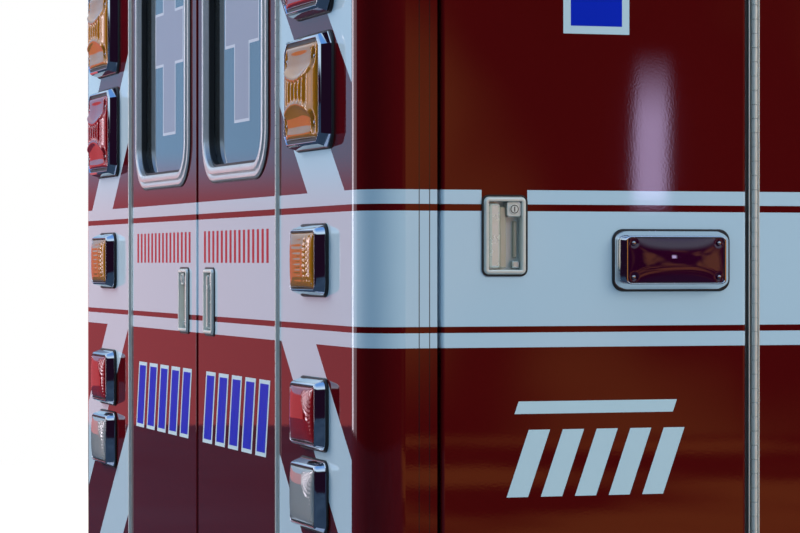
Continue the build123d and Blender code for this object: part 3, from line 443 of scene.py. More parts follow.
PAINT = BodyPaint("body_paint")
CHROME = Metal("chrome_plate", (0.86, 0.88, 0.90), 0.045, 0.025, (1, 1, 1), 30.0, 0.00002, 0.05)
POLISHED = Metal(
    "polished_stainless", (0.80, 0.84, 0.83), 0.30, 0.06, (1, 1, 0.05), 700.0, 0.00001, 0.08, 0.5,
)
LATCH_METAL = Metal("latch_satin_cast", (0.82, 0.86, 0.83), 0.36, 0.06, (1, 1, 1), 220.0, 0.00005, 0.15, 0.5)
BRUSHED = Metal("brushed_stainless", (0.66, 0.67, 0.66), 0.26, 0.08, (1, 1, 0.03), 900.0, 0.00004, 0.2)
WINDOW_METAL = Metal(
    "window_frame_satin", (0.80, 0.81, 0.84), 0.30, 0.08, (1, 1, 1), 500.0, 0.00005, 0.2, 0.6,
)
ALUMINIUM = Metal("mill_aluminium", (0.62, 0.63, 0.65), 0.30, 0.10, (0.04, 1, 1), 600.0, 0.00005, 0.2, 0.7)
TREAD_METAL = Metal("tread_plate_metal", (0.68, 0.69, 0.71), 0.24, 0.09, (1, 1, 1), 60.0, 0.00008, 0.15, 0.7)
SCREW = Metal("screw_steel", (0.55, 0.56, 0.57), 0.22, 0.06)
REFLECTOR = Metal("lamp_reflector", (0.84, 0.84, 0.86), 0.10, 0.04)
PADDLE_CHROME = Metal("paddle_chrome", (0.86, 0.90, 0.86), 0.26, 0.08, (1, 0.25, 1), 60.0, 0.0007, 0.30, 0.55)
STEP_SATIN = Metal("latch_step_satin", (0.66, 0.64, 0.52), 0.38, 0.10, (1, 0.2, 1), 90.0, 0.0005, 0.4, 0.6)
RUBBER = Plastic("black_rubber", (0.018, 0.018, 0.020), 0.48, 300.0, 0.0003, 0.3)
UNDERBODY = Plastic("underbody_paint", (0.03, 0.03, 0.032), 0.55, 160.0, 0.0006, 0.5)
ARCH_LINER = Plastic("arch_liner_plastic", (0.025, 0.025, 0.026), 0.6, 120.0, 0.0008, 0.6)
FLOORING = Plastic("sheet_flooring", (0.20, 0.21, 0.23), 0.5, 90.0, 0.0006, 0.5, 0.2)
LINER_SHEET = Metal("locker_liner_sheet", (0.55, 0.56, 0.58), 0.36, 0.08, (0.05, 1, 1), 500.0)
LAMINATE = Plastic("cabinet_laminate", (0.62, 0.62, 0.60), 0.38, 240.0, 0.0002, 0.15, 0.05)
SLIDER = Lens("cabinet_slider", (0.55, 0.62, 0.66), 0.7, 0.06)
VINYL = Vinyl("seat_vinyl")
SEAT_SHELL = Plastic("seat_shell_plastic", (0.06, 0.065, 0.07), 0.42)
LAMINATE_BLUE = Plastic("cabinet_front_laminate", (0.30, 0.38, 0.46), 0.36, 240.0, 0.0002, 0.15, 0.06)
RED_LENS = Lens("red_lens_moulding", (0.62, 0.010, 0.014), 0.60, 0.012, 0.3)
AMBER_LENS = Lens("amber_lens_moulding", (0.86, 0.36, 0.022), 0.60, 0.012, 0.3)
CLEAR_LENS = Lens("clear_lens_moulding", (0.86, 0.88, 0.90), 0.70, 0.012, 0.4)
DARK_LENS = Lens("dark_red_lens", (0.034, 0.001, 0.020), 0.20, 0.012, 0.3)
BULB = Plastic("lamp_bulb", (0.85, 0.82, 0.76), 0.2)
BLUE_FILM = Plastic("blue_film", (0.0, 0.016, 0.46), 0.42, 500.0, 0.0001, 0.1, 0.05, 0.12)
WHITE_FILM = Plastic("white_film", (0.48, 0.62, 0.72), 0.42, 500.0, 0.0001, 0.1, 0.04, 0.12)
RED_FILM = Plastic("red_film", (0.42, 0.015, 0.03), 0.42, 500.0, 0.0001, 0.1, 0.05, 0.12)
LIGHT_PANEL = Plastic("light_diffuser", (0.80, 0.82, 0.80), 0.35, 200.0, 0.0003, 0.2, 0.03)


# Places


@dataclass(frozen=True)
class Skin:
    """A flat outer face, with its own directions: right across it, up and outwards."""

    normal: Point
    distance: float

    def place(self, right: float = 0.0, up: float = 0.0, out: float = 0.0) -> Matrix:
        """Return the matrix from local right, up and out to the frame's axes.

        Args:
            right: place across the face.
            up: height.
            out: distance proud of the face.

        Returns:
            The placing matrix.
        """
        normal = Vector(self.normal)
        upward = Vector((0.0, 0.0, 1.0))
        across = upward.cross(normal)
        matrix = Matrix((across, upward, normal)).transposed().to_4x4()
        matrix.translation = normal * (self.distance + out) + across * right + upward * up
        return matrix


HALF_LENGTH = 1.930
HALF_WIDTH = 1.220
RIGHT_SKIN = Skin((0, -1, 0), HALF_WIDTH)
LEFT_SKIN = Skin((0, 1, 0), HALF_WIDTH)
REAR_SKIN = Skin((-1, 0, 0), HALF_LENGTH)
FRONT_SKIN = Skin((1, 0, 0), HALF_LENGTH)


@dataclass(frozen=True)
class Door:
    """A hinged door as it lies in its skin."""

    name: str
    skin: Skin
    free: float
    hinged: float
    bottom: float
    top: float

    @property
    def toward(self) -> float:
        """Sign of the direction from the free edge to the hinge, in the skin."""
        return math.copysign(1.0, self.hinged - self.free)

    @property
    def middle(self) -> float:
        """Middle of the door across the skin."""
        return (self.free + self.hinged) / 2

    def hinge(self) -> float:
        """Place of the hinge pin across the skin."""
        return self.hinged + self.toward * PIN_FROM_DOOR


PIN_FROM_DOOR = 0.016
SIDE_DOOR_NAMES = (
    ("rear_locker_right", RIGHT_SKIN), ("entry_door", RIGHT_SKIN), ("front_locker_right", RIGHT_SKIN),
    ("rear_locker_left", LEFT_SKIN), ("mid_locker_left", LEFT_SKIN), ("front_locker_left", LEFT_SKIN),
)


def read_doors() -> list[Door]:
    """Return every hinged door, measured on the frame."""
    doors = []
    for name, skin in SIDE_DOOR_NAMES:
        low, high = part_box(name)
        sign = -skin.normal[1]
        doors.append(Door(name, skin, sign * low.x, sign * high.x, low.z, high.z))
    for name in ("rear_door_right", "rear_door_left"):
        low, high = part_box(name)
        near, far = (high.y, low.y) if name.endswith("right") else (low.y, high.y)
        doors.append(Door(name, REAR_SKIN, -near, -far, low.z, high.z))
    return doors


# Shapes


def shift(x: float = 0.0, y: float = 0.0, z: float = 0.0) -> Matrix:
    """Return the matrix that moves by that much."""
    return Matrix.Translation((x, y, z))


def add_object(name: str, data: bpy.types.ID) -> bpy.types.Object:
    """Add an object to the scene."""
    made = bpy.data.objects.new(name, data)
    bpy.context.scene.collection.objects.link(made)
    return made


class Shape:
    """A mesh under construction, made with bmesh operators."""

    def __init__(self) -> None:
        """Start empty."""
        self.bm = bmesh.new()

    def box(self, low: Iterable[float], high: Iterable[float], bevel: float = 0.0) -> "Shape":
        """Add a box between two corners.

        Args:
            low: the lowest corner.
            high: the highest corner.
            bevel: edge radius, or 0 for sharp edges.

        Returns:
            This shape.
        """
        low, high = Vector(low), Vector(high)
        size = high - low
        matrix = Matrix.Translation((low + high) / 2) @ Matrix.Diagonal((*size, 1.0))
        made = bmesh.ops.create_cube(self.bm, size=1.0, matrix=matrix)
        if bevel:
            edges = {edge for vert in made["verts"] for edge in vert.link_edges}
            self.bevel(edges, bevel)
        return self

    def bevel(self, edges: Iterable[bmesh.types.BMEdge], width: float, segments: int = 2) -> None:
        """Round some edges."""
        bmesh.ops.bevel(
            self.bm, geom=list(edges), offset=width, offset_type="OFFSET", segments=segments,
            profile=0.5, affect="EDGES", material=-1, clamp_overlap=True,
        )

    def plate(self, width: float, height: float, radius: float, steps: int = 5) -> bmesh.types.BMFace:
        """Add one flat face with rounded corners, centred at the origin.

        Args:
            width: its size across.
            height: its size up.
            radius: corner radius, or 0 for sharp corners.
            steps: segments in each corner.

        Returns:
            The face.
        """
        made = bmesh.ops.create_grid(self.bm, x_segments=1, y_segments=1, size=0.5)
        verts = made["verts"]
        bmesh.ops.scale(self.bm, vec=(width, height, 1.0), verts=verts)
        if radius:
            made = bmesh.ops.bevel(
                self.bm, geom=verts, offset=radius, offset_type="OFFSET", segments=steps,
                profile=0.5, affect="VERTICES", material=-1,
            )
        face = max(made["verts"][0].link_faces, key=lambda f: f.calc_area())
        if face.normal.z < 0:
            face.normal_flip()
        return face

    def stack(
        self, width: float, height: float, radius: float, profile: Iterable[Span],
        steps: int = 5, sheet: float = 0.0, through: bool = False,
    ) -> "Shape":
        """Add a rounded block or pressed sheet whose outline steps in and out as it rises.

        Args:
            width: outline's size across.
            height: outline's size up.
            radius: corner radius.
            profile: pairs of how far the outline comes in and how far it rises.
            steps: segments in each corner.
            sheet: thickness of a pressed sheet that is open behind, or 0 for a closed block.
            through: whether a sheet is open in its middle.

        Returns:
            This shape.
        """
        face = self.plate(width, height, radius, steps)
        before = set(self.bm.faces) - {face}
        rim = list(face.edges)
        for inset, rise in profile:
            bmesh.ops.inset_region(
                self.bm, faces=[face], thickness=inset, depth=rise,
                use_boundary=True, use_even_offset=True,
            )
        if not sheet:
            bmesh.ops.edgeloop_fill(self.bm, edges=[edge for edge in rim if edge.is_valid])
            return self
        if through:
            bmesh.ops.delete(self.bm, geom=[face], context="FACES_ONLY")
        faces = [f for f in self.bm.faces if f not in before]
        bmesh.ops.solidify(self.bm, geom=faces, thickness=sheet)
        return self

    def ring(
        self, width: float, height: float, radius: float, inner: float, low: float, high: float,
        steps: int = 5,
    ) -> "Shape":
        """Add a closed flat ring with rounded corners.

        Args:
            width: its size across.
            height: its size up.
            radius: outer corner radius.
            inner: width of the band.
            low: where it starts.
            high: where it ends.
            steps: segments in each corner.

        Returns:
            This shape.
        """
        part = Shape()
        face = part.plate(width, height, radius, steps)
        bmesh.ops.inset_region(
            part.bm, faces=[face], thickness=inner, use_boundary=True, use_even_offset=True,
        )
        bmesh.ops.delete(part.bm, geom=[face], context="FACES_ONLY")
        return self.join(part.raise_faces(high - low), shift(z=low))

    def raise_faces(self, height: float) -> "Shape":
        """Give every face of a flat shape a thickness along Z."""
        made = bmesh.ops.extrude_face_region(self.bm, geom=self.bm.faces[:])
        verts = [v for v in made["geom"] if isinstance(v, bmesh.types.BMVert)]
        bmesh.ops.translate(self.bm, vec=(0, 0, height), verts=verts)
        return self

    def block(self, low: Iterable[float], high: Iterable[float], radius: float, edge: float) -> "Shape":
        """Add a block between two corners, its upright corners and its top edge rounded."""
        low, high = Vector(low), Vector(high)
        size, middle = high - low, (low + high) / 2
        profile = soften(((0, size.z - edge), (edge, edge)), edge * 0.8)
        part = Shape().stack(size.x, size.y, radius, profile, 4)
        return self.join(part, shift(middle.x, middle.y, low.z))

    def rod(
        self, radius: float, length: float, segments: int = 16, top_radius: float | None = None,
        matrix: Matrix | None = None,
    ) -> "Shape":
        """Add a capped rod or cone along local Z, starting at the origin."""
        bmesh.ops.create_cone(
            self.bm, cap_ends=True, segments=segments, radius1=radius,
            radius2=radius if top_radius is None else top_radius, depth=length,
            matrix=(matrix or shift()) @ shift(z=length / 2),
        )
        return self

    def stamp(self, mesh: bpy.types.Mesh, matrix: Matrix) -> "Shape":
        """Add a copy of a finished mesh, placed by a matrix."""
        start = len(self.bm.verts)
        self.bm.from_mesh(mesh)
        self.bm.verts.ensure_lookup_table()
        bmesh.ops.transform(self.bm, matrix=matrix, verts=self.bm.verts[start:])
        return self

    def spread(self, part: "Shape", places: Iterable[Matrix]) -> "Shape":
        """Add a copy of another shape at each place, and free it."""
        mesh = part.mesh("part")
        for place in places:
            self.stamp(mesh, place)
        bpy.data.meshes.remove(mesh)
        return self

    def join(self, part: "Shape", matrix: Matrix | None = None) -> "Shape":
        """Take in another shape, placed by a matrix, and free it."""
        return self.spread(part, [matrix or shift()])

    def transform(self, matrix: Matrix) -> "Shape":
        """Move the whole shape."""
        bmesh.ops.transform(self.bm, matrix=matrix, verts=self.bm.verts[:])
        return self

    def mesh(self, name: str) -> bpy.types.Mesh:
        """Turn all faces outwards, return the shape as a mesh and free it."""
        bmesh.ops.recalc_face_normals(self.bm, faces=self.bm.faces[:])
        made = bpy.data.meshes.new(name)
        self.bm.to_mesh(made)
        self.bm.free()
        return made

    def piece(
        self, name: str, finish: Finish, body: str, slot: str | None = None, sharp: float = 32.0,
    ) -> bpy.types.Object:
        """Make the shape a piece of the object.

        Args:
            name: the piece's name.
            finish: its finish.
            body: the frame body that carries it.
            slot: the record's material slot, if it has one. Not used.
            sharp: edges past this many degrees stay sharp.

        Returns:
            The piece.
        """
        mesh = self.mesh(name)
        mesh.shade_smooth()
        mesh.set_sharp_from_angle(angle=math.radians(sharp))
        made = add_object(name, mesh)
        mesh.materials.append(finish.material())
        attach(made, body)
        LOG.info("%s on %s: %d faces", name, body, len(mesh.polygons))
        return made


def soften(profile: Iterable[Span], radius: float) -> list[Span]:
    """Round each turn of a stack's profile.

    Args:
        profile: pairs of how far the outline comes in and how far it rises.
        radius: how far from each turn the rounding starts.

    Returns:
        The same profile with two short steps across each turn.
    """
    points = [Vector((0.0, 0.0))]
    for step in profile:
        points.append(points[-1] + Vector(step))
    path = points[:1]
    for before, turn, after in zip(points, points[1:], points[2:]):
        start = turn.lerp(before, min(0.49, radius / (before - turn).length))
        end = turn.lerp(after, min(0.49, radius / (after - turn).length))
        path += [start, (start + 2 * turn + end) / 4, end]
    path.append(points[-1])
    return [tuple(later - earlier) for earlier, later in zip(path, path[1:])]


def dress(node: str, finish: Finish) -> None:
    """Give a frame node its finish."""
    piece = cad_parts[node]
    piece.data.materials.clear()
    piece.data.materials.append(finish.material())


def flip(toward: float) -> Matrix:
    """Return the matrix that mirrors a shape across, where the hinge lies on the other side."""
    return Matrix.Diagonal((toward, 1.0, 1.0, 1.0))


# Sub-assemblies


@dataclass(frozen=True)
class SoftLamp:
    """A square soft lamp that looks at a target and shows in no reflection or lens."""

    name: str
    place: Point
    target: Point
    size: float
    watts: float
    colour: Colour

    def build(self) -> None:
        """Add the lamp to the scene."""
        data = bpy.data.lights.new(self.name, "AREA")
        data.shape, data.size, data.energy, data.color = "SQUARE", self.size, self.watts, self.colour
        made = add_object(self.name, data)
        made.location = self.place
        aim = Vector(self.target) - Vector(self.place)
        made.rotation_euler = aim.to_track_quat("-Z", "Y").to_euler()
        made.visible_glossy = made.visible_transmission = False


SOFT_LAMPS = (
    SoftLamp("lamp_rear", (-7.6, 6.6, 4.4), (-1.9, 0, 0.9), 5.0, 1120.0, (0.96, 0.84, 0.74)),
    SoftLamp("lamp_right", (5.6, -8.2, 5.0), (0, -1.2, 0.9), 6.0, 730.0, (1.0, 0.92, 0.76)),
    SoftLamp("lamp_left", (1.5, 9.0, 5.2), (0, 1.2, 0.9), 6.0, 620.0, (1.0, 0.92, 0.80)),
    SoftLamp("lamp_front", (8.5, 0.0, 4.6), (1.9, 0, 0.9), 5.0, 620.0, (1.0, 0.92, 0.80)),
    SoftLamp("lamp_top", (0, 0, 7.5), (0, 0, 0), 6.0, 300.0, (1.0, 0.94, 0.86)),
)


@dataclass
class Studio:
    """Floor, soft lights, reflection cards and the camera."""

    camera_place: Point = (-3.408, -6.102, 0.770)
    yaw_degrees: float = 17.54
    tilt_degrees: float = 0.10
    focal_mm: float = 133.0
    sensor_mm: float = 36.0
    far_clip: float = 500.0
    world_white: Colour = (1.0, 1.0, 1.0)
    world_soft: Colour = (0.46, 0.76, 1.0)
    world_strength: float = 0.62
    floor_z: float = -0.2635
    floor_size: float = 400.0
    floor_fade: Span = (4.5, 9.0)
    floor_pale: Colour = (0.86, 0.80, 0.74)
    floor_bounce: Colour = (0.26, 0.28, 0.30)
    dome_radius: float = 13.0
    horizon: Span = (3.0, 5.2)
    sky: TwoColours = ((0.60, 0.78, 0.98), (0.12, 0.32, 0.78))
    low_dark: Colour = (0.012, 0.004, 0.014)
    low_grey: Colour = (0.22, 0.23, 0.25)
    leaves: Span = (0.44, 0.68)
    leaf_browns: TwoColours = ((0.030, 0.009, 0.005), (0.95, 0.37, 0.09))
    warm_turn: Span = (-1.45, -1.72)
    card_turn: Span = (1.05, 1.65)
    card_split: Span = (1.30, 1.75)
    card_colours: TwoColours = ((0.60, 0.13, 0.16), (0.27, 0.46, 0.72))
    panel_turn: Span = (0.55, 0.95)
    panel_colour: Colour = (0.86, 0.74, 0.86)
    line_turn: Span = (0.84, 0.93)
    line_colour: Colour = (4.0, 3.7, 4.2)
    strip_turn: float = -1.825
    strip_half: float = 0.0105
    strip_up: Span = (1.30, 2.30)
    strip_fade: Span = (0.15, 0.5)
    strip_colour: Colour = (6.0, 5.0, 8.5)
    ground_lift: float = 0.002
    ground_warm: TwoSpans = ((-1.6, -0.6), (-3.0, -4.5))
    ground_blues: TwoColours = ((0.010, 0.022, 0.050), (0.050, 0.085, 0.150))
    ground_browns: TwoColours = ((0.05, 0.014, 0.006), (1.0, 0.34, 0.08))
    ground_leaves: Span = (0.42, 0.62)

    def build(self) -> None:
        """Make the whole studio."""
        self.make_world()
        self.make_floor()
        self.make_dome()
        self.make_ground_card()
        for lamp in SOFT_LAMPS:
            lamp.build()
        self.make_camera()

    def make_world(self) -> None:
        """White to the camera, in reflections and through lenses, and a soft blue light on surfaces."""
        graph = Graph("studio_world", world=True)
        bpy.context.scene.world = graph.owner
        path = graph.node("LightPath").outputs
        seen = graph.either(*(path[f"Is {ray} Ray"] for ray in ("Camera", "Glossy", "Transmission")))
        soft = graph.node("Background", {"Color": self.world_soft, "Strength": self.world_strength})
        white = graph.node("Background", {"Color": self.world_white, "Strength": 1.0})
        graph.shade(graph.node("MixShader", {0: seen, 1: soft.outputs[0], 2: white.outputs[0]}))

    def make_floor(self) -> None:
        """A pale floor that runs into the white background and sends little light back up."""
        shape = Shape()
        bmesh.ops.create_grid(shape.bm, x_segments=1, y_segments=1, size=self.floor_size / 2)
        floor = add_object("studio_floor", shape.mesh("studio_floor"))
        floor.location.z = self.floor_z
        graph = Graph("studio_floor_paint")
        far = graph.node("VectorMath", {0: graph.place()[0]}, operation="LENGTH")
        fade = graph.smooth(far.outputs["Value"], *self.floor_fade)
        path = graph.node("LightPath").outputs
        pale = graph.mix(path["Is Diffuse Ray"], self.floor_pale, self.floor_bounce)
        matt, glow = graph.node("BsdfDiffuse", {"Color": pale}), graph.node("Emission")
        far_seen = graph.both(fade, path["Is Camera Ray"])
        graph.shade(graph.node("MixShader", {0: far_seen, 1: matt.outputs[0], 2: glow.outputs[0]}))
        floor.data.materials.append(graph.owner)
        floor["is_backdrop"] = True

    def card(self, shape: Shape, graph: Graph, colour: Socket) -> None:
        """Add a card that shows only in reflections and through lenses.

        Args:
            shape: its shape.
            graph: its material's nodes, named after the card with _paint behind it.
            colour: the colour that it shows.
        """
        name = graph.owner.name.removesuffix("_paint")
        card = add_object(name, shape.mesh(name))
        for ray in ("camera", "diffuse", "volume_scatter", "shadow"):
            setattr(card, f"visible_{ray}", False)
        graph.shade(graph.node("Emission", {"Color": colour}))
        card.data.materials.append(graph.owner)
        card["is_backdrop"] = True

    def make_dome(self) -> None:
        """A blue dome over a dark horizon, with warm, red and bright cards at some turns."""
        shape = Shape()
        bmesh.ops.create_uvsphere(
            shape.bm, u_segments=96, v_segments=48, radius=self.dome_radius, matrix=shift(z=self.floor_z),
        )
        graph = Graph("reflection_dome_paint")
        _, x, y, z = graph.place()
        up = graph.math("SUBTRACT", z, self.floor_z)
        turn = graph.math("ARCTAN2", y, graph.math("MULTIPLY", x, -1.0))
        leaves = graph.smooth(graph.noise(0.55, 2.0, (1.0, 1.0, 0.8)), *self.leaves)
        brown = graph.mix(leaves, *self.leaf_browns)
        low = graph.mix(graph.smooth(turn, *self.warm_turn), self.low_dark, brown)
        card = graph.mix(graph.smooth(up, *self.card_split), *self.card_colours)
        low = graph.mix(graph.math("GREATER_THAN", turn, self.card_turn[1]), low, self.low_grey)
        low = graph.mix(graph.band(turn, *self.card_turn), low, card)
        low = graph.mix(graph.band(turn, *self.panel_turn), low, self.panel_colour)
        low = graph.mix(graph.band(turn, *self.line_turn), low, self.line_colour)
        sky = graph.mix(graph.smooth(up, self.horizon[1], self.dome_radius), *self.sky)
        colour = graph.mix(graph.smooth(up, *self.horizon), low, sky)
        side = graph.math("ABSOLUTE", graph.math("SUBTRACT", turn, self.strip_turn))
        foot, head = self.strip_up
        strip = graph.both(
            graph.smooth(side, self.strip_half, self.strip_half * 0.4),
            graph.smooth(up, foot, foot + self.strip_fade[0]),
            graph.smooth(up, head, head - self.strip_fade[1]),
        )
        self.card(shape, graph, graph.mix(strip, colour, self.strip_colour))

    def make_ground_card(self) -> None:
        """A card over the floor, dark blue by the rear and warm by the right side."""
        shape = Shape()
        bmesh.ops.create_circle(
            shape.bm, cap_ends=True, segments=64, radius=self.dome_radius,
            matrix=shift(z=self.floor_z + self.ground_lift),
        )
        graph = Graph("ground_card_paint")
        _, x, y, _ = graph.place()
        cloud = graph.noise(0.6)
        along, across = self.ground_warm
        warm = graph.both(graph.smooth(y, *across), graph.smooth(x, *along))
        blue = graph.mix(cloud, *self.ground_blues)
        brown = graph.mix(graph.smooth(cloud, *self.ground_leaves), *self.ground_browns)
        self.card(shape, graph, graph.mix(warm, blue, brown))

    def make_camera(self) -> None:
        """The photograph's viewpoint: level, long lens, looking along the rear corner."""
        data = bpy.data.cameras.new("camera")
        data.lens, data.sensor_width, data.clip_end = self.focal_mm, self.sensor_mm, self.far_clip
        camera = add_object("camera", data)
        camera.location = self.camera_place
        camera.rotation_euler = (
            math.radians(90.0 - self.tilt_degrees), 0.0, -math.radians(self.yaw_degrees),
        )
        bpy.context.scene.camera = camera
        bpy.context.scene.view_settings.view_transform = "Standard"


@dataclass
class Bodywork:
    """Finishes of the frame's own solids."""

    painted: tuple[str, ...] = (
        "side_wall_right", "side_wall_left", "corner_posts", "rear_frame", "front_wall", "roof",
    )
    finishes: dict[str, Finish] = field(default_factory=lambda: {
        "floor_deck": FLOORING, "subframe": UNDERBODY, "cross_sills": UNDERBODY, "wheel_arches": ARCH_LINER,
        "fender_rings": POLISHED, "locker_liners_right": LINER_SHEET, "locker_liners_left": LINER_SHEET,
        "step_well": TREAD_METAL, "body_rails": ALUMINIUM, "kick_plate": TREAD_METAL, "bumper": TREAD_METAL,
        "flip_step": TREAD_METAL, "squad_bench": LAMINATE, "cabinets": LAMINATE, "grab_rail": BRUSHED,
        "bench_cushions": VINYL, "attendant_seat": VINYL,
    })

    def build(self, doors: Iterable[Door]) -> None:
        """Paint the shell and the doors, and finish the rest."""
        for node in (*self.painted, *(door.name for door in doors)):
            dress(node, PAINT)
        for node, finish in self.finishes.items():
            dress(node, finish)


@dataclass
class PianoHinge:
    """Continuous hinge with rolled knuckles at their real pitch, and black strips of painted shade in its
    gap.
    """

    door: Door
    pitch: float = 25.4 * MM
    barrel: float = 5.4 * MM
    play: float = 0.7 * MM
    sides: int = 14
    broken_edge: float = 0.5 * MM
    proud: float = 1.0 * MM
    leaf: float = 2.0 * MM
    leaf_depth: float = 24.0 * MM
    pin_to_frame: float = 10.0 * MM
    bright_edge: float = 5.4 * MM
    bright_width: float = 1.6 * MM
    # the next two set where the black strips of painted shade lie in the hinge's gap
    seal_up: Span = (0.1 * MM, 1.6 * MM)
    seal_play: tuple[float, ...] = (0.4 * MM, 0.3 * MM, 1.9 * MM, 0.6 * MM)

    def knuckle(self) -> bpy.types.Mesh:
        """Return one rolled knuckle, standing on its end, with broken edges."""
        shape = Shape().rod(self.barrel, self.pitch - self.play, self.sides)
        ends = [e for e in shape.bm.edges if abs(e.verts[0].co.z - e.verts[1].co.z) < MM / 10]
        shape.bevel(ends, self.broken_edge, 1)
        return shape.mesh("knuckle")

    def strip(self, shape: Shape, near: float, far: float, low: float, high: float) -> None:
        """Add one strip as tall as the door.

        Args:
            shape: the shape that takes it.
            near: where it starts, from the door's edge towards the frame.
            far: where it ends.
            low: its deepest place under the skin, negative.
            high: its outermost place.
        """
        door = self.door
        ends = sorted((door.hinged + door.toward * near, door.hinged + door.toward * far))
        part = Shape().box((ends[0], door.bottom, low), (ends[1], door.top, high))
        shape.join(part, door.skin.place())

    def build(self, fixed: Shape) -> Shape:
        """Make the hinge.

        Args:
            fixed: the shape that collects every fixed half.

        Returns:
            The moving half.
        """
        door, moving = self.door, Shape()
        knuckle = self.knuckle()
        count = round((door.top - door.bottom) / self.pitch)
        pitch = (door.top - door.bottom) / count
        stand = Matrix.Rotation(-math.pi / 2, 4, "X")
        for index in range(count):
            half = moving if index % 2 else fixed
            at = door.skin.place(door.hinge(), door.bottom + index * pitch + self.play / 2, self.proud)
            half.stamp(knuckle, at @ stand)
        bpy.data.meshes.remove(knuckle)
        flat = (self.proud - self.barrel - self.leaf, self.proud - self.barrel)
        root, frame_edge = PIN_FROM_DOOR - self.barrel / 2, PIN_FROM_DOOR + self.pin_to_frame
        self.strip(moving, 0.0, root, *flat)
        self.strip(moving, 0.0, self.leaf, -self.leaf_depth, flat[0])
        self.strip(moving, self.bright_edge, self.bright_edge + self.bright_width, flat[1], self.proud)
        self.strip(fixed, PIN_FROM_DOOR + self.barrel / 2, frame_edge, *flat)
        self.strip(fixed, frame_edge - self.leaf, frame_edge, -self.leaf_depth, self.proud)
        return moving

    def build_seal(self) -> None:
        """Add the black strips of painted shade that fill the hinge's gap on both sides of its bright edge.
        """
        low, top = (self.proud - self.barrel + up for up in self.seal_up)
        start, before, after, end = self.seal_play
        shape = Shape()
        self.strip(shape, start, self.bright_edge - before, low, top)
        self.strip(shape, self.bright_edge + after, PIN_FROM_DOOR - self.barrel - end, low, top)
        shape.piece(f"{self.door.name}_hinge_seal", RUBBER, self.door.name)


@dataclass
class PaddleLatch:
    """Flush latch: gasket, rounded rim pressed with its dish, stepped paddle, catch and key lock."""

    width: float = 80 * MM
    height: float = 138 * MM
    radius: float = 10 * MM
    rim: float = 9 * MM
    slope: float = 3 * MM
    rise: float = 7 * MM
    dish: float = 18 * MM
    sheet: float = 1.2 * MM
    bend: float = 1.6 * MM
    gasket: float = 2.5 * MM
    gasket_up: float = 2.2 * MM
    paddle: Block = ((-28, -57, -16), (-8, 57, 3), 5, 4)
    catch: Block = ((16, -57, -16), (29, -44, -3), 2.5, 2)
    step: Block = ((-8, -57, -16), (5, 51, -4), 2.5, 2)
    rib: Block = ((20, -39, -18), (27, 26, -9), 2.5, 2)
    tab: Block = ((4, 33, -18), (31, 60, 2), 5, 1.5)
    lock: Span = (17.5 * MM, 46.5 * MM)
    ring: Disc = (9.4 * MM, 1.6 * MM, 32, 8.8 * MM)
    ring_up: float = 1.9 * MM
    plug: Disc = (6.4 * MM, 1.0 * MM, 28, 6.0 * MM)
    plug_line: Disc = (7.6 * MM, 0.4 * MM, 28, None)
    plug_up: float = 3.3 * MM
    keyway: tuple[Point, Point] = ((-0.9 * MM, -4.4 * MM, 4.2 * MM), (0.9 * MM, 4.4 * MM, 4.5 * MM))
    side_in: float = 116 * MM
    side_z: float = 0.815
    rear_in: float = 107 * MM
    rear_z: float = 0.686

    def at(self, door: Door) -> Matrix:
        """Return the latch's place on a door, its local X towards the hinge."""
        rear = door.skin is REAR_SKIN
        inward = self.rear_in if rear else self.side_in
        up = self.rear_z if rear else self.side_z
        return door.skin.place(door.free + door.toward * inward, up) @ flip(door.toward)

    def dish_shape(self) -> Shape:
        """Return the rim and the dish behind it, pressed from one sheet."""
        profile = ((self.slope, self.rise), (self.rim - self.slope, 0.0), (0.0, -self.rise - self.dish))
        profile = soften(profile, self.bend)
        return Shape().stack(self.width, self.height, self.radius, profile, 6, self.sheet)

    @staticmethod
    def blocks(*blocks: Block) -> Shape:
        """Return rounded blocks."""
        shape = Shape()
        for block in blocks:
            low, high = ([at * MM for at in corner] for corner in block[:2])
            shape.block(low, high, block[2] * MM, block[3] * MM)
        return shape

    def lock_shape(self) -> Shape:
        """Return the lock's tab, its raised ring and the key plug."""
        shape = self.blocks(self.tab).rod(*self.ring, shift(*self.lock, self.ring_up))
        return shape.rod(*self.plug, shift(*self.lock, self.plug_up))

    def dark_shape(self) -> Shape:
        """Return the gasket, the dark line round the key plug and the keyway."""
        grow = 2 * self.gasket
        outline = (self.width + grow, self.height + grow, self.radius + self.gasket)
        shape = Shape().ring(*outline, grow, 0.0, self.gasket_up)
        shape.rod(*self.plug_line, shift(*self.lock, self.plug_up))
        return shape.box(*(shift(*self.lock) @ Vector(corner) for corner in self.keyway))

    def build(self, door: Door) -> None:
        """Make one door's latch."""
        at, name, body = self.at(door), f"{door.name}_latch", door.name
        metal = Shape().join(self.dish_shape(), at).join(self.lock_shape(), at)
        metal.piece(name, LATCH_METAL, body, "stainless")
        paddle, step = self.blocks(self.paddle, self.catch), self.blocks(self.step, self.rib)
        Shape().join(paddle, at).piece(f"{name}_paddle", PADDLE_CHROME, body, "stainless")
        Shape().join(step, at).piece(f"{name}_step", STEP_SATIN, body, "stainless")
        Shape().join(self.dark_shape(), at).piece(f"{name}_gasket", RUBBER, body)


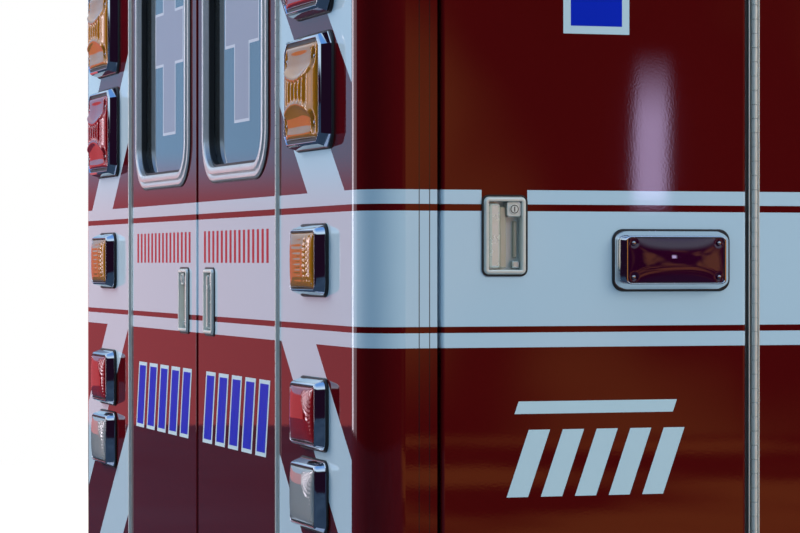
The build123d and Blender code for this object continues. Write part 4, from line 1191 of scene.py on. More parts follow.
@dataclass(frozen=True)
class LampSize:
    """Sizes of one kind of lamp: its bezel's outline and depth, and its lens."""

    width: float
    height: float
    radius: float
    flats: int
    depth: float
    rim: float
    crown: float
    bevel: float
    drop: float
    edge: float
    lens_corner: float
    lens_pitch: float
    screw_in: Span
    screw_up: float
    taper: float = 0.009
    stretch: float = 1.0

    @property
    def lens_half(self) -> Span:
        """Half width and half height of the lens's opening."""
        return self.width / 2 - self.rim * self.stretch, self.height / 2 - self.rim

    def outline(self, inside: float) -> Point:
        """Return width, height and corner of the bezel's outline, that far inside its foot."""
        shrink = CHAMFER_SHRINK if self.flats == 1 else 1.0
        return (
            self.width / self.stretch - 2 * inside, self.height - 2 * inside, self.radius - inside * shrink,
        )

    def widen(self) -> Matrix:
        """Return the matrix that makes the ends of the bezel wider than its sides."""
        return Matrix.Diagonal((self.stretch, 1.0, 1.0, 1.0))


CHAMFER_SHRINK = 2.0 - math.sqrt(2.0)


class LampKind(Enum):
    """The lamp sizes on the body."""

    LARGE = LampSize(
        0.250, 0.207, 0.022, 1, 0.026, 0.017, 0.016, 0.004, 0.004, 0.0005, 0.013, 0.0034,
        (0.017, 0.027), 0.0040,
    )
    SMALL = LampSize(
        0.182, 0.127, 0.018, 6, 0.024, 0.013, 0.012, 0.003, 0.0015, 0.0009, 0.009, 0.0025,
        (0.009, 0.009), 0.0020,
    )
    DOOR = LampSize(
        0.219, 0.104, 0.017, 8, 0.026, 0.0125, 0.0078, 0.001, 0.0015, 0.0018, 0.006, 0.0026,
        (0.0094, 0.0094), 0.0016, 0.0100, 1.45,
    )


class Pattern(Enum):
    """What is moulded into a lens."""

    FLUTES = "flutes"
    GRID = "grid"
    ARCS = "arcs"
    PLAIN = "plain"


@dataclass(frozen=True)
class Lamp:
    """One lamp: where it stands, its size, colour and pattern."""

    skin: Skin
    across: float
    up: float
    kind: LampKind
    colour: str
    pattern: Pattern
    body: str = MODULE

    def place(self) -> Matrix:
        """Return the lamp's place on its skin."""
        return self.skin.place(self.across, self.up)


def smooth(value: float, low: float, high: float) -> float:
    """Return 0 below low, 1 above high and a smooth step between."""
    t = min(1.0, max(0.0, (value - low) / (high - low)))
    return t * t * (3 - 2 * t)


def fall(value: float, low: float, high: float) -> float:
    """Return 1 below low, 0 above high and a smooth step between."""
    return 1 - smooth(value, low, high)


def wave(value: float, pitch: float) -> float:
    """Return a wave from -1 to 1, highest at zero."""
    return math.cos(2 * math.pi * value / pitch)


def bell(value: float, width: float) -> float:
    """Return 1 at zero, falling off on both sides over a width."""
    return math.exp(-((value / width) ** 2))


@dataclass
class LampMaker:
    """Shapes of a lamp: gasket, chrome bezel, patterned lens, reflector, bulb and screws.

    The relief's zones are shares of the lens's half width or half height.
    """

    foot: float = 6 * MM
    lip: float = 1.4 * MM
    lip_in: float = 0.8 * MM
    seat: float = 3 * MM
    wall: float = 2.2 * MM
    gasket: float = 4 * MM
    gasket_grow: float = 3.5 * MM
    lens_gasket: Span = (1.0 * MM, 0.9 * MM)
    flute_pitch: float = 24 * MM
    flute_height: float = 2.6 * MM
    ridge_height: float = 3.2 * MM
    ridge_up: Span = (0.26, 0.34)
    ridge_half: float = 0.06
    ridge_ends: Span = (0.70, 0.90)
    waist_below: Span = (0.16, 0.02)
    waist_ends: Span = (0.55, 0.78)
    scoop_depth: float = 6.0 * MM
    scoop_full: float = 0.62
    scoop_end: Span = (0.72, 0.96)
    pocket_depth: float = 8.5 * MM
    pocket_in: Span = (17 * MM, 27 * MM)
    pocket_half_mm: Span = (9, 19)
    pocket_wall: Span = (0.62, 1.12)
    block_height: float = 1.6 * MM
    block_pitch: Span = (17 * MM, 10 * MM)
    block_power: float = 0.6
    block_zone: TwoSpans = ((0.30, 0.34), (0.84, 0.88))
    bar_height: float = 0.6 * MM
    bar_zone: TwoSpans = ((0.15, 0.32), (-0.8, 0.2))
    row_end: Span = (0.84, 0.92)
    arc_height: float = 0.9 * MM
    arc_pitch: float = 8 * MM
    arc_centre: Span = (0.95, 1.05)
    arc_zone: TwoSpans = ((0.9, 1.25), (0.25, 0.4))
    rib_height: float = 0.7 * MM
    rib_pitch: float = 7 * MM
    rib_zone: TwoSpans = ((0.80, 0.86), (0.95, 0.99))
    corner_in: float = 9 * MM
    corner_depth: float = 3.0 * MM
    corner_wall: Span = (4.0 * MM, 8.5 * MM)
    lens_play: float = 0.4 * MM
    lens_foot: float = 2 * MM
    lens_room: float = 0.3 * MM
    lens_crown: float = 0.80
    edge_fade: float = 6
    plain_fullness: Span = (2.3, 0.85)
    full_fullness: Span = (3.2, 0.55)
    bowl_play: float = 6 * MM
    bowl_up: float = 0.5 * MM
    bowl: tuple[Span, ...] = (
        (1.2 * MM, 0), (3 * MM, -5 * MM), (5 * MM, -5 * MM), (12 * MM, -4 * MM), (6 * MM, -1.0 * MM),
        (4 * MM, 2.0 * MM),
    )
    bulb_radius: float = 5 * MM
    bulb_up: float = 16 * MM
    bulb_share: float = 0.42
    screw: tuple[Disc, Disc] = ((3.9 * MM, 1.1 * MM, 18, 3.4 * MM), (3.4 * MM, 0.8 * MM, 18, 1.6 * MM))

    def bezel(self, size: LampSize) -> Shape:
        """Return the chrome bezel: foot, leaning wall, front bevel, bright lip and step to the lens."""
        strip = size.rim - size.taper - self.lip - self.lip_in
        profile = (
            (0, self.foot), (size.taper - size.bevel, size.depth - self.foot - size.bevel),
            (size.bevel, size.bevel), (self.lip, 0), (self.lip_in, -size.drop), (strip, 0),
            (0, self.seat + size.drop - size.depth),
        )
        shape = Shape()
        shape.stack(*size.outline(0.0), soften(profile, size.edge), size.flats)
        return shape.transform(size.widen())

    def gaskets(self, size: LampSize) -> Shape:
        """Return the black foam gasket under the bezel and the thin one round the lens."""
        grow, inside = self.gasket_grow, size.taper + self.lip + self.lip_in
        level = size.depth - size.drop
        up, thick = self.lens_gasket
        shape = Shape().ring(*size.outline(inside), size.rim - inside, level - up, level + thick, size.flats)
        shape.transform(size.widen())
        return shape.stack(
            size.width + 2 * grow, size.height + 2 * grow, size.radius + grow,
            soften(((0, self.gasket * 0.6), (self.gasket * 0.4, self.gasket * 0.4)), MM), max(size.flats, 4),
        )

    def fluted(self, x: float, y: float, half: Span) -> float:
        """Return a large lens's relief: scooped ends, a fluted waist between ridges, screw pockets."""
        across, up = abs(x) / half[0], abs(y) / half[1]
        ridge = self.ridge_up[0] + self.ridge_up[1] * across ** 2
        waist = fall(up, *(ridge - below for below in self.waist_below)) * fall(across, *self.waist_ends)
        height = self.flute_height * waist * wave(x, self.flute_pitch)
        height += self.ridge_height * bell(up - ridge, self.ridge_half) * fall(across, *self.ridge_ends)
        scoop = self.scoop_depth * smooth(up, ridge, self.scoop_full)
        height -= scoop * fall(up, *self.scoop_end) * (1 - across ** 2)
        wide, tall = self.pocket_half_mm
        aside, above = (across - 1) * half[0] + self.pocket_in[0], (up - 1) * half[1] + self.pocket_in[1]
        reach = math.hypot(aside, above * wide / tall) / (wide * MM)
        return height - self.pocket_depth * fall(reach, *self.pocket_wall)

    def dotted(self, x: float, y: float, half: Span) -> float:
        """Return the relief of a small lens: two columns of blocks and bars that fade across."""
        across, up = x / half[0], abs(y) / half[1]
        tall = fall(up, *self.row_end)
        (near, far), (pitch_x, pitch_y) = self.block_zone, self.block_pitch
        column = smooth(across, *near) * fall(across, *far) * tall
        blocks = max(0.0, wave(x, pitch_x)) * max(0.0, wave(y, pitch_y))
        far, near = self.bar_zone
        bars = wave(y, pitch_y) * fall(across, *far) * smooth(across, *near)
        return self.block_height * column * blocks ** self.block_power + self.bar_height * bars * tall

    def arched(self, x: float, y: float, half: Span) -> float:
        """Return the relief of a small lens: arcs from one corner and ribs along its sides."""
        reach = math.hypot(*(at - reach * share for at, reach, share in zip((x, y), half, self.arc_centre)))
        outer, inner = ([half[1] * share for share in zone] for zone in self.arc_zone)
        near, far = self.rib_zone
        across = abs(x) / half[0]
        ribs = smooth(across, *near) * fall(across, *far)
        arcs = self.arc_height * (fall(reach, *outer) * smooth(reach, *inner)) * wave(reach, self.arc_pitch)
        return arcs + self.rib_height * ribs * wave(y, self.rib_pitch)

    def plain(self, x: float, y: float, half: Span) -> float:
        """Return the relief of a plain lens, with its four screw pockets alone."""
        reach = math.hypot(*(abs(at) - reach + self.corner_in for at, reach in zip((x, y), half)))
        return -self.corner_depth * fall(reach, *self.corner_wall)

    def lens(self, size: LampSize, pattern: Pattern) -> Shape:
        """Return the lens as a pillow with its pattern, open behind.

        Args:
            size: the lamp's sizes.
            pattern: what is moulded in.

        Returns:
            The lens, standing on the skin.
        """
        relief = {
            Pattern.FLUTES: self.fluted, Pattern.GRID: self.dotted,
            Pattern.ARCS: self.arched, Pattern.PLAIN: self.plain,
        }[pattern]
        half = tuple(reach - self.lens_play for reach in size.lens_half)
        counts = [round(2 * h / size.lens_pitch) for h in half]
        shape = Shape()
        made = bmesh.ops.create_grid(shape.bm, x_segments=counts[0], y_segments=counts[1], size=0.5)
        power, fullness = self.plain_fullness if pattern is Pattern.PLAIN else self.full_fullness
        top = size.crown + size.drop / 2 - self.lens_room
        for vert in made["verts"]:
            x, y = self.round_corner(vert.co.x * 2 * half[0], vert.co.y * 2 * half[1], half, size.lens_corner)
            across, up = abs(x) / half[0], abs(y) / half[1]
            dome = max(0.0, (1 - across ** power) * (1 - up ** power))
            fade = min(1.0, self.edge_fade * (1 - max(across, up)))
            lift = size.crown * self.lens_crown * dome ** fullness + fade * relief(x, y, half)
            vert.co = (x, y, size.depth - size.drop / 2 + min(top, lift))
        border = [edge for edge in shape.bm.edges if edge.is_boundary]
        walls = bmesh.ops.extrude_edge_only(shape.bm, edges=border)
        for vert in walls["geom"]:
            if isinstance(vert, bmesh.types.BMVert):
                vert.co.z = self.seat + self.lens_foot
        return shape

    @staticmethod
    def round_corner(x: float, y: float, half: Span, corner: float) -> Span:
        """Pull a point of the grid in where the outline's corner is round."""
        over = [abs(at) - (reach - corner) for at, reach in zip((x, y), half)]
        if min(over) <= 0:
            return x, y
        shrink = max(over) / math.hypot(*over)
        return tuple(
            math.copysign(reach - corner + past * shrink, at) for at, reach, past in zip((x, y), half, over)
        )

    def reflector(self, size: LampSize) -> Shape:
        """Return the bright bowl behind the lens, with its steps and bulb seat."""
        width, height = (2 * reach - self.bowl_play for reach in size.lens_half)
        shape = Shape().stack(width, height, 0.0, ((0, size.depth - self.bowl_play), *self.bowl))
        return shape.transform(shift(z=self.seat + self.bowl_up))

    def bulb(self, size: LampSize) -> Shape:
        """Return the bulb lying across the reflector."""
        length = min(size.width, size.height) * self.bulb_share
        at = shift(-length / 2, 0, self.bulb_up) @ Matrix.Rotation(math.pi / 2, 4, "Y")
        return Shape().rod(self.bulb_radius, length, 14, None, at)

    def screws(self, size: LampSize) -> Shape:
        """Return the four lens screws with their domed heads."""
        x, y = (reach - inside for reach, inside in zip(size.lens_half, size.screw_in))
        shape, (washer, dome) = Shape(), self.screw
        for place_x, place_y in product((-x, x), (-y, y)):
            at = shift(place_x, place_y, size.depth - size.drop + size.screw_up)
            shape.rod(*washer, at)
            shape.rod(*dome, at @ shift(z=washer[1]))
        return shape


@dataclass
class LampSet:
    """Every lamp of the body, grouped so that like parts share a piece."""

    column: float = 0.907
    high: float = 1.788
    header: float = 1.824
    door_lamp_in: float = 0.162
    door_lamp_z: float = 0.772
    side_lamp_z: float = 1.790
    side_in: float = 0.240
    arch_x: float = -0.660
    rear: tuple[tuple[float, LampKind, str, str, Pattern], ...] = (
        (1.788, LampKind.LARGE, "red", "red", Pattern.FLUTES),
        (1.323, LampKind.LARGE, "red", "amber", Pattern.FLUTES),
        (1.079, LampKind.LARGE, "amber", "red", Pattern.FLUTES),
        (0.772, LampKind.SMALL, "amber", "amber", Pattern.GRID),
        (0.492, LampKind.SMALL, "red", "red", Pattern.ARCS),
        (0.344, LampKind.SMALL, "clear", "clear", Pattern.ARCS),
    )
    front: tuple[tuple[float, str], ...] = (
        (-0.905, "red"), (-0.470, "red"), (0.0, "clear"), (0.470, "red"), (0.905, "red"),
    )

    def lamps(self) -> list[Lamp]:
        """Return the lamps that the body carries."""
        made = [
            Lamp(REAR_SKIN, across, up, kind, colour, pattern)
            for up, kind, right, left, pattern in self.rear
            for across, colour in ((self.column, right), (-self.column, left))
        ]
        end = HALF_LENGTH - self.side_in
        made += [
            Lamp(skin, x * -skin.normal[1], self.side_lamp_z, LampKind.LARGE, colour, Pattern.FLUTES)
            for x, colour in ((-end, "red"), (self.arch_x, "clear"), (end, "red"))
            for skin in (RIGHT_SKIN, LEFT_SKIN)
        ]
        made += [
            Lamp(FRONT_SKIN, y, self.high, LampKind.LARGE, colour, Pattern.FLUTES)
            for y, colour in self.front
        ]
        return [*made, Lamp(REAR_SKIN, 0.0, self.header, LampKind.SMALL, "amber", Pattern.GRID)]

    def build(self, doors: Iterable[Door]) -> None:
        """Make all lamps, those of the body first and then those on doors."""
        lenses = {colour: f"{colour}_lenses" for colour in ("red", "amber", "clear")}
        self.build_group("body_lamps", self.lamps(), "lamp_bezels", lenses)
        for door in doors:
            if door.name.startswith("rear_locker"):
                across, name = door.hinge() - door.toward * self.door_lamp_in, f"{door.name}_lamp"
                kind, pattern = LampKind.DOOR, Pattern.PLAIN
                lamp = Lamp(door.skin, across, self.door_lamp_z, kind, "dark", pattern, door.name)
                self.build_group(name, [lamp], f"{name}_bezel", {"dark": f"{name}_lens"})

    @staticmethod
    def build_group(name: str, lamps: list[Lamp], bezel_node: str, lens_nodes: dict[str, str]) -> None:
        """Make the pieces of lamps that share a body.

        Args:
            name: the start of each piece's name.
            lamps: the lamps.
            bezel_node: the frame node of the bezels.
            lens_nodes: the frame node of the lenses, by colour.
        """
        maker, body = LampMaker(), lamps[0].body
        glass = {"red": RED_LENS, "amber": AMBER_LENS, "clear": CLEAR_LENS, "dark": DARK_LENS}
        parts: dict[str, tuple[Callable[[LampSize], Shape], Finish, str | None]] = {
            "bezels": (maker.bezel, CHROME, "chrome"), "gaskets": (maker.gaskets, RUBBER, None),
            "reflectors": (maker.reflector, REFLECTOR, "chrome"), "screws": (maker.screws, SCREW, None),
            "bulbs": (maker.bulb, BULB, None),
        }
        for part, (make, finish, slot) in parts.items():
            shape = Shape()
            for kind in LampKind:
                shape.spread(make(kind.value), [lamp.place() for lamp in lamps if lamp.kind is kind])
            piece = shape.piece(f"{name}_{part}", finish, body, slot)
            if part == "bezels":
                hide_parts(bezel_node)
        for colour, node in lens_nodes.items():
            shape = Shape()
            for kind, pattern in {(lamp.kind, lamp.pattern): None for lamp in lamps}:
                shape.spread(maker.lens(kind.value, pattern), [
                    lamp.place() for lamp in lamps
                    if (lamp.kind, lamp.pattern, lamp.colour) == (kind, pattern, colour)
                ])
            piece = shape.piece(f"{name}_{colour}_lenses", glass[colour], body, f"{colour}_lens", 60.0)
            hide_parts(node)
            wall = piece.modifiers.new("wall", "SOLIDIFY")
            wall.thickness = maker.wall
            wall.offset = -1.0


@dataclass
class Window:
    """A framed window: stepped frame, dark gaskets and frosted glass."""

    door: Door
    rim: float = 30 * MM
    wall_end: float = 48 * MM
    sheet: float = 1.6 * MM
    steps: tuple[Span, ...] = (
        (0.0, 2.0 * MM), (3.0 * MM, 3.5 * MM), (9.5 * MM, 0.0), (1.0 * MM, -1.6 * MM), (1.5 * MM, 0.0),
        (1.0 * MM, 5.1 * MM), (11.0 * MM, 0.0), (3.0 * MM, -3.0 * MM),
    )
    steps_round: float = 0.8 * MM
    rear_radius: float = 95 * MM
    side_radius: float = 70 * MM
    gasket_rings: tuple[tuple[float, float, float, float], ...] = (
        (2.5 * MM, 12 * MM, 0.0, 2.0 * MM), (1.0 * MM - rim, 7 * MM, -13.5 * MM, -3 * MM),
    )

    def build(self) -> None:
        """Make the frame and gaskets of one door's window and finish its glass."""
        door, name = self.door, self.door.name
        rear, node = door.skin is REAR_SKIN, f"{name}_window_frame"
        low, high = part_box(node)
        width = (high.y - low.y) if rear else (high.x - low.x)
        outline = (width, high.z - low.z, self.rear_radius if rear else self.side_radius)
        middle = (low.z + high.z) / 2
        at = door.skin.place(door.middle, middle)
        end = -self.wall_end - sum(rise for _, rise in self.steps)
        profile = soften((*self.steps, (0.0, end)), self.steps_round)
        shape = Shape().stack(*outline, profile, 14, self.sheet, True).transform(at)
        piece = shape.piece(f"{node}_dressed", WINDOW_METAL, name, "aluminium_frame")
        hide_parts(node)
        self.gaskets(outline, at)
        across = abs(door.middle) if rear else door.middle
        glass = "rear_window_glass" if rear else "entry_window_glass"
        dress(f"{name}_glass", TintedGlass(glass, middle, across, rear))

    def gaskets(self, outline: Point, at: Matrix) -> None:
        """Make the black gaskets: under the frame and round the glass."""
        shape, (width, height, radius) = Shape(), outline
        for grow, band, low, high in self.gasket_rings:
            shape.ring(width + 2 * grow, height + 2 * grow, radius + grow, band, low, high, 14)
        shape.transform(at).piece(f"{self.door.name}_window_gaskets", RUBBER, self.door.name)


@dataclass(frozen=True)
class BlockRow:
    """A row of slanted film blocks across a rear door."""

    colour: str
    finish: Finish
    count: int
    up: float
    share: float
    grow: float
    height: float
    lean: float
    layers: int


BLOCK_ROWS = (
    BlockRow("red", RED_FILM, 15, 0.800, 0.46, 0.0, 0.066, 0.0, 1),
    BlockRow("white", WHITE_FILM, 5, 0.465, 0.62, 0.014, 0.150, 0.22, 1),
    BlockRow("blue", BLUE_FILM, 5, 0.465, 0.62, -0.004, 0.134, 0.22, 2),
)


@dataclass
class Markings:
    """Plain film markings: crosses on the locker doors, and blocks on the doors."""

    film: float = 0.25 * MM
    cross_centre: float = 1.402
    cross_half: float = 0.230
    arm_half: float = 0.0625
    border: float = 0.014
    blocks_up: float = 0.415
    block_count: int = 5
    block_start: float = -0.128
    block_pitch: float = 0.064
    block_size: Span = (0.040, 0.118)
    rule_up: float = 0.098
    rule_size: Span = (0.300, 0.022)
    lean: float = 0.35
    row_inset: float = 0.045

    def cross(self, shrink: float, thick: float) -> Shape:
        """Return a cross with square arms, lying on its skin, smaller by shrink on every side."""
        half, arm = self.cross_half - shrink, self.arm_half - shrink
        shape = Shape()
        made = bmesh.ops.create_grid(shape.bm, x_segments=3, y_segments=3, size=0.5)
        marks = (-half, -arm, arm, half)
        for vert in made["verts"]:
            vert.co.xy = [marks[round((at + 0.5) * 3)] for at in vert.co.xy]
        middles = {face: face.calc_center_median() for face in shape.bm.faces}
        corners = [face for face, at in middles.items() if min(abs(at.x), abs(at.y)) > arm]
        bmesh.ops.delete(shape.bm, geom=corners, context="FACES")
        return shape.raise_faces(thick)

    @staticmethod
    def slanted(shape: Shape, place: Span, size: Span, lean: float, thick: float) -> None:
        """Add one slanted block to a shape."""
        (width, height), block = size, Shape()
        block.box((-width / 2, -height / 2, 0), (width / 2, height / 2, thick))
        for vert in block.bm.verts:
            vert.co.x += lean * vert.co.y
        shape.join(block, shift(*place))

    def build(self, doors: Iterable[Door]) -> None:
        """Make the markings of every door that has them."""
        for door in doors:
            if door.name.startswith("rear_locker"):
                self.on_locker(door)
            elif door.name.startswith("rear_door"):
                self.on_rear_door(door)

    def on_locker(self, door: Door) -> None:
        """Add the cross and the slanted reflective blocks to a rear locker door."""
        at = door.skin.place(door.middle, self.cross_centre)
        white = self.cross(0.0, self.film).transform(at)
        blocks = Shape()
        for index in range(self.block_count):
            place = (self.block_start + index * self.block_pitch, 0.0)
            self.slanted(blocks, place, self.block_size, self.lean, self.film)
        self.slanted(blocks, (0.0, self.rule_up), self.rule_size, self.lean, self.film)
        white.join(blocks, door.skin.place(door.middle, self.blocks_up))
        white.piece(f"{door.name}_white_film", WHITE_FILM, door.name)
        inner = self.cross(self.border, self.film * 2).transform(at)
        inner.piece(f"{door.name}_blue_cross", BLUE_FILM, door.name)

    def on_rear_door(self, door: Door) -> None:
        """Add the red rule and the blue blocks with pale borders to a rear door."""
        low, high = sorted((door.free, door.hinged))
        span, start = high - low - 2 * self.row_inset, low + self.row_inset
        for row in BLOCK_ROWS:
            shape, pitch = Shape(), span / row.count
            for index in range(row.count):
                across = start + (index + 0.5) * span / row.count
                size = (pitch * row.share + row.grow, row.height)
                self.slanted(shape, (across, row.up), size, row.lean, self.film * row.layers)
            shape.transform(door.skin.place()).piece(f"{door.name}_{row.colour}_film", row.finish, door.name)


@dataclass
class TreadPlate:
    """Raised lugs on the kick plate and the bumper's top."""

    pitch: float = 30 * MM
    length: float = 21 * MM
    width: float = 6.5 * MM
    height: float = 1.2 * MM
    point: float = 0.72
    kick_up: float = 0.030
    kick_margin: float = 0.075
    bumper_top: float = -0.176
    bumper_across: Span = (0.474, 1.165)
    bumper_margin: Span = (0.01, 0.02)
    corner_room: float = 0.02

    def lug(self) -> bpy.types.Mesh:
        """Return one pointed lug, lying along X."""
        shape = Shape().rod(self.length / 2, self.height, 8, self.length / 2 * self.point)
        bmesh.ops.scale(shape.bm, vec=(1.0, self.width / self.length, 1.0), verts=shape.bm.verts[:])
        return shape.mesh("lug")

    def cover(self, shape: Shape, at: Matrix, width: float, height: float,
              inside: Callable[[float, float], bool] | None = None) -> None:
        """Cover a rectangle with lugs that turn by turns.

        Args:
            shape: the shape that collects the lugs.
            at: the rectangle's middle, its Z outwards.
            width: its size across.
            height: its size up.
            inside: says whether a lug may stand at a place, if not everywhere.
        """
        lug = self.lug()
        columns, rows = int(width // self.pitch), int(height // self.pitch)
        for column, row in product(range(columns), range(rows)):
            x = (column - (columns - 1) / 2) * self.pitch
            y = (row - (rows - 1) / 2) * self.pitch
            if inside is None or inside(x, y):
                turn = math.radians(45 if (column + row) % 2 else -45)
                shape.stamp(lug, at @ shift(x, y) @ Matrix.Rotation(turn, 4, "Z"))
        bpy.data.meshes.remove(lug)

    def clear(self, x: float, y: float, side: int, depth: float) -> bool:
        """Say whether a lug on the bumper stays clear of the cut corner."""
        inner, outer = self.bumper_across
        from_rear = x + depth / 2
        from_end = (outer - inner) / 2 - side * y
        return from_rear + from_end > depth / 2 + self.corner_room

    def build(self) -> None:
        """Make the tread of the kick plate and of the bumper's two ends."""
        shape = Shape()
        low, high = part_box("kick_plate")
        at = REAR_SKIN.place(0, (low.z + high.z) / 2 + self.kick_up, -low.x - HALF_LENGTH)
        self.cover(shape, at, high.y - low.y, high.z - low.z - self.kick_margin)
        shape.piece("kick_plate_tread", TREAD_METAL, MODULE, "aluminium_frame")
        low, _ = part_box("bumper")
        depth = -HALF_LENGTH - low.x
        inner, outer = self.bumper_across
        along, across = self.bumper_margin
        shape = Shape()
        for side in (-1, 1):
            at = shift(low.x + depth / 2, side * (inner + outer) / 2, self.bumper_top)
            inside = partial(self.clear, side=side, depth=depth)
            self.cover(shape, at, depth - along, outer - inner - across, inside)
        shape.piece("bumper_tread", TREAD_METAL, MODULE, "aluminium_frame")


@dataclass
class Pad:
    """A stitched pad, swelled by cloth simulation from a smaller block and kept inside its size."""

    size: Point
    edge: float = 14 * MM
    room: float = 8 * MM
    voxel: float = 13 * MM
    pressure: float = 4.0
    frames: int = 20
    cap: float = 22 * MM
    seam_depth: float = 3 * MM
    seam_half: float = 9 * MM
    seam_zone: Span = (0.86, 0.94)

    def start(self) -> bpy.types.Object:
        """Return the small remeshed block that the simulation swells."""
        half = [length / 2 - self.room for length in self.size[:2]]
        shape = Shape()
        shape.box((-half[0], -half[1], MM), (half[0], half[1], self.size[2] - self.room), self.edge)
        made = add_object("pad_start", shape.mesh("pad_start"))
        remesh = made.modifiers.new("remesh", "REMESH")
        remesh.mode = "VOXEL"
        remesh.voxel_size = self.voxel
        return made

    def simulate(self, piece: bpy.types.Object) -> list[Vector]:
        """Run the cloth and return where its points end."""
        cloth = piece.modifiers.new("cloth", "CLOTH")
        cloth.settings.quality = 4
        cloth.settings.use_pressure = True
        cloth.settings.uniform_pressure_force = self.pressure
        cloth.settings.effector_weights.gravity = 0.0
        cloth.point_cache.frame_end = self.frames
        for number in range(1, self.frames + 1):
            bpy.context.scene.frame_set(number)
        swelled = piece.evaluated_get(bpy.context.evaluated_depsgraph_get())
        places = [vert.co.copy() for vert in swelled.data.vertices]
        bpy.context.scene.frame_set(1)
        piece.modifiers.remove(cloth)
        return places

    def mesh(self, name: str) -> bpy.types.Mesh:
        """Make the pad.

        Args:
            name: the mesh's name.

        Returns:
            The pad, its flat back at zero height and its middle over the origin.
        """
        piece = self.start()
        graph = bpy.context.evaluated_depsgraph_get()
        piece.data = bpy.data.meshes.new_from_object(piece.evaluated_get(graph))
        piece.modifiers.clear()
        starts = [vert.co.copy() for vert in piece.data.vertices]
        ends = self.simulate(piece)
        half_x, half_y = self.size[0] / 2, self.size[1] / 2
        for vert, start, end in zip(piece.data.vertices, starts, ends):
            move = end - start
            move *= min(1.0, self.cap / max(move.length, MM / 10))
            x, y, z = start + move
            outward = max(abs(x) / half_x, abs(y) / half_y)
            seam = bell(z - self.size[2] * 0.5, self.seam_half) * smooth(outward, *self.seam_zone)
            pull = 1 - seam * self.seam_depth / half_y
            x = max(-half_x, min(half_x, x)) * pull
            y = max(-half_y, min(half_y, y)) * pull
            vert.co = (x, y, max(0.0, min(self.size[2], z)))
        made = piece.data
        made.name = name
        bpy.data.objects.remove(piece)
        return made


def soft_piece(name: str, shape: Shape) -> bpy.types.Object:
    """Make a piece of pads, subdivided once."""
    piece = shape.piece(name, VINYL, MODULE, "vinyl", 180.0)
    smoother = piece.modifiers.new("soft", "SUBSURF")
    smoother.levels = smoother.render_levels = 1
    return piece


@dataclass
class Bench:
    """The squad bench's seat and back pads."""

    pads: int = 3
    gap: float = 10 * MM
    thick: float = 57 * MM
    seat_up: float = 0.5405
    seat_middle: float = -0.835
    seat_deep: float = 0.508
    back_bottom: float = 0.722
    back_tall: float = 0.326
    back_gap: float = 0.5 * MM

    def build(self) -> None:
        """Lay the pads, and hide their plain solids."""
        low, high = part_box("bench_cushions")
        pitch = (high.x - low.x + self.gap) / self.pads
        wide = pitch - self.gap
        seat = Pad((wide, self.seat_deep, self.thick)).mesh("bench_seat_pad")
        back = Pad((wide, self.back_tall, self.thick)).mesh("bench_back_pad")
        stand = Matrix.Rotation(math.pi, 4, "Z") @ Matrix.Rotation(math.pi / 2, 4, "X")
        up = self.back_bottom + self.back_tall / 2
        shape = Shape()
        for index in range(self.pads):
            x = low.x + wide / 2 + index * pitch
            shape.stamp(seat, shift(x, self.seat_middle, self.seat_up))
            shape.stamp(back, shift(x, low.y + self.back_gap, up) @ stand)
        piece = soft_piece("bench_pads", shape)
        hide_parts("bench_cushions")


@dataclass
class AttendantSeat:
    """Two pads on a shell, over a round pedestal."""

    seat_inset: Span = (0.03, 0.04)
    seat_thick: float = 0.085
    seat_forward: float = 0.015
    seat_up: float = 0.472
    back_inset: float = 0.05
    back_tall: float = 0.56
    back_thick: float = 0.060
    back_degrees: float = 85
    back_in: float = 0.045
    back_up: float = 0.86
    foot: Disc = (0.150, 0.012, 40, 0.146)
    post: Disc = (0.055, 0.300, 32, 0.050)
    seat_shell: tuple[Point, Point] = ((0.03, -0.20, 0.440), (-0.03, 0.20, 0.470))
    back_shell: tuple[Point, Point] = ((-0.030, -0.19, 0.440), (-0.006, 0.19, 1.120))
    shell_edge: float = 6 * MM

    def build(self) -> None:
        """Make the pads, which stand for the plain seat, and then the shell and pedestal."""
        low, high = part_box("attendant_seat")
        middle, wide = (low.x + high.x) / 2, high.y - low.y
        deep, broad = (wide - inset for inset in self.seat_inset)
        pads = Shape()
        seat = Pad((deep, broad, self.seat_thick)).mesh("attendant_seat_pad")
        pads.stamp(seat, shift(middle - self.seat_forward, 0, self.seat_up))
        back = Pad((wide - self.back_inset, self.back_tall, self.back_thick)).mesh("attendant_back_pad")
        lean = Matrix.Rotation(math.radians(self.back_degrees), 4, "X")
        turn = Matrix.Rotation(-math.pi / 2, 4, "Z") @ lean
        pads.stamp(back, shift(high.x - self.back_in, 0, self.back_up) @ turn)
        piece = soft_piece("attendant_pads", pads)
        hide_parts("attendant_seat")
        shape = Shape().rod(*self.foot, shift(middle, 0, low.z))
        shape.rod(*self.post, shift(middle, 0, low.z + self.foot[1]))
        for from_x, ((start, *near), (stop, *far)) in ((low.x, self.seat_shell), (high.x, self.back_shell)):
            shape.box((from_x + start, *near), (high.x + stop, *far), self.shell_edge)
        shape.piece("attendant_seat_shell", SEAT_SHELL, MODULE)


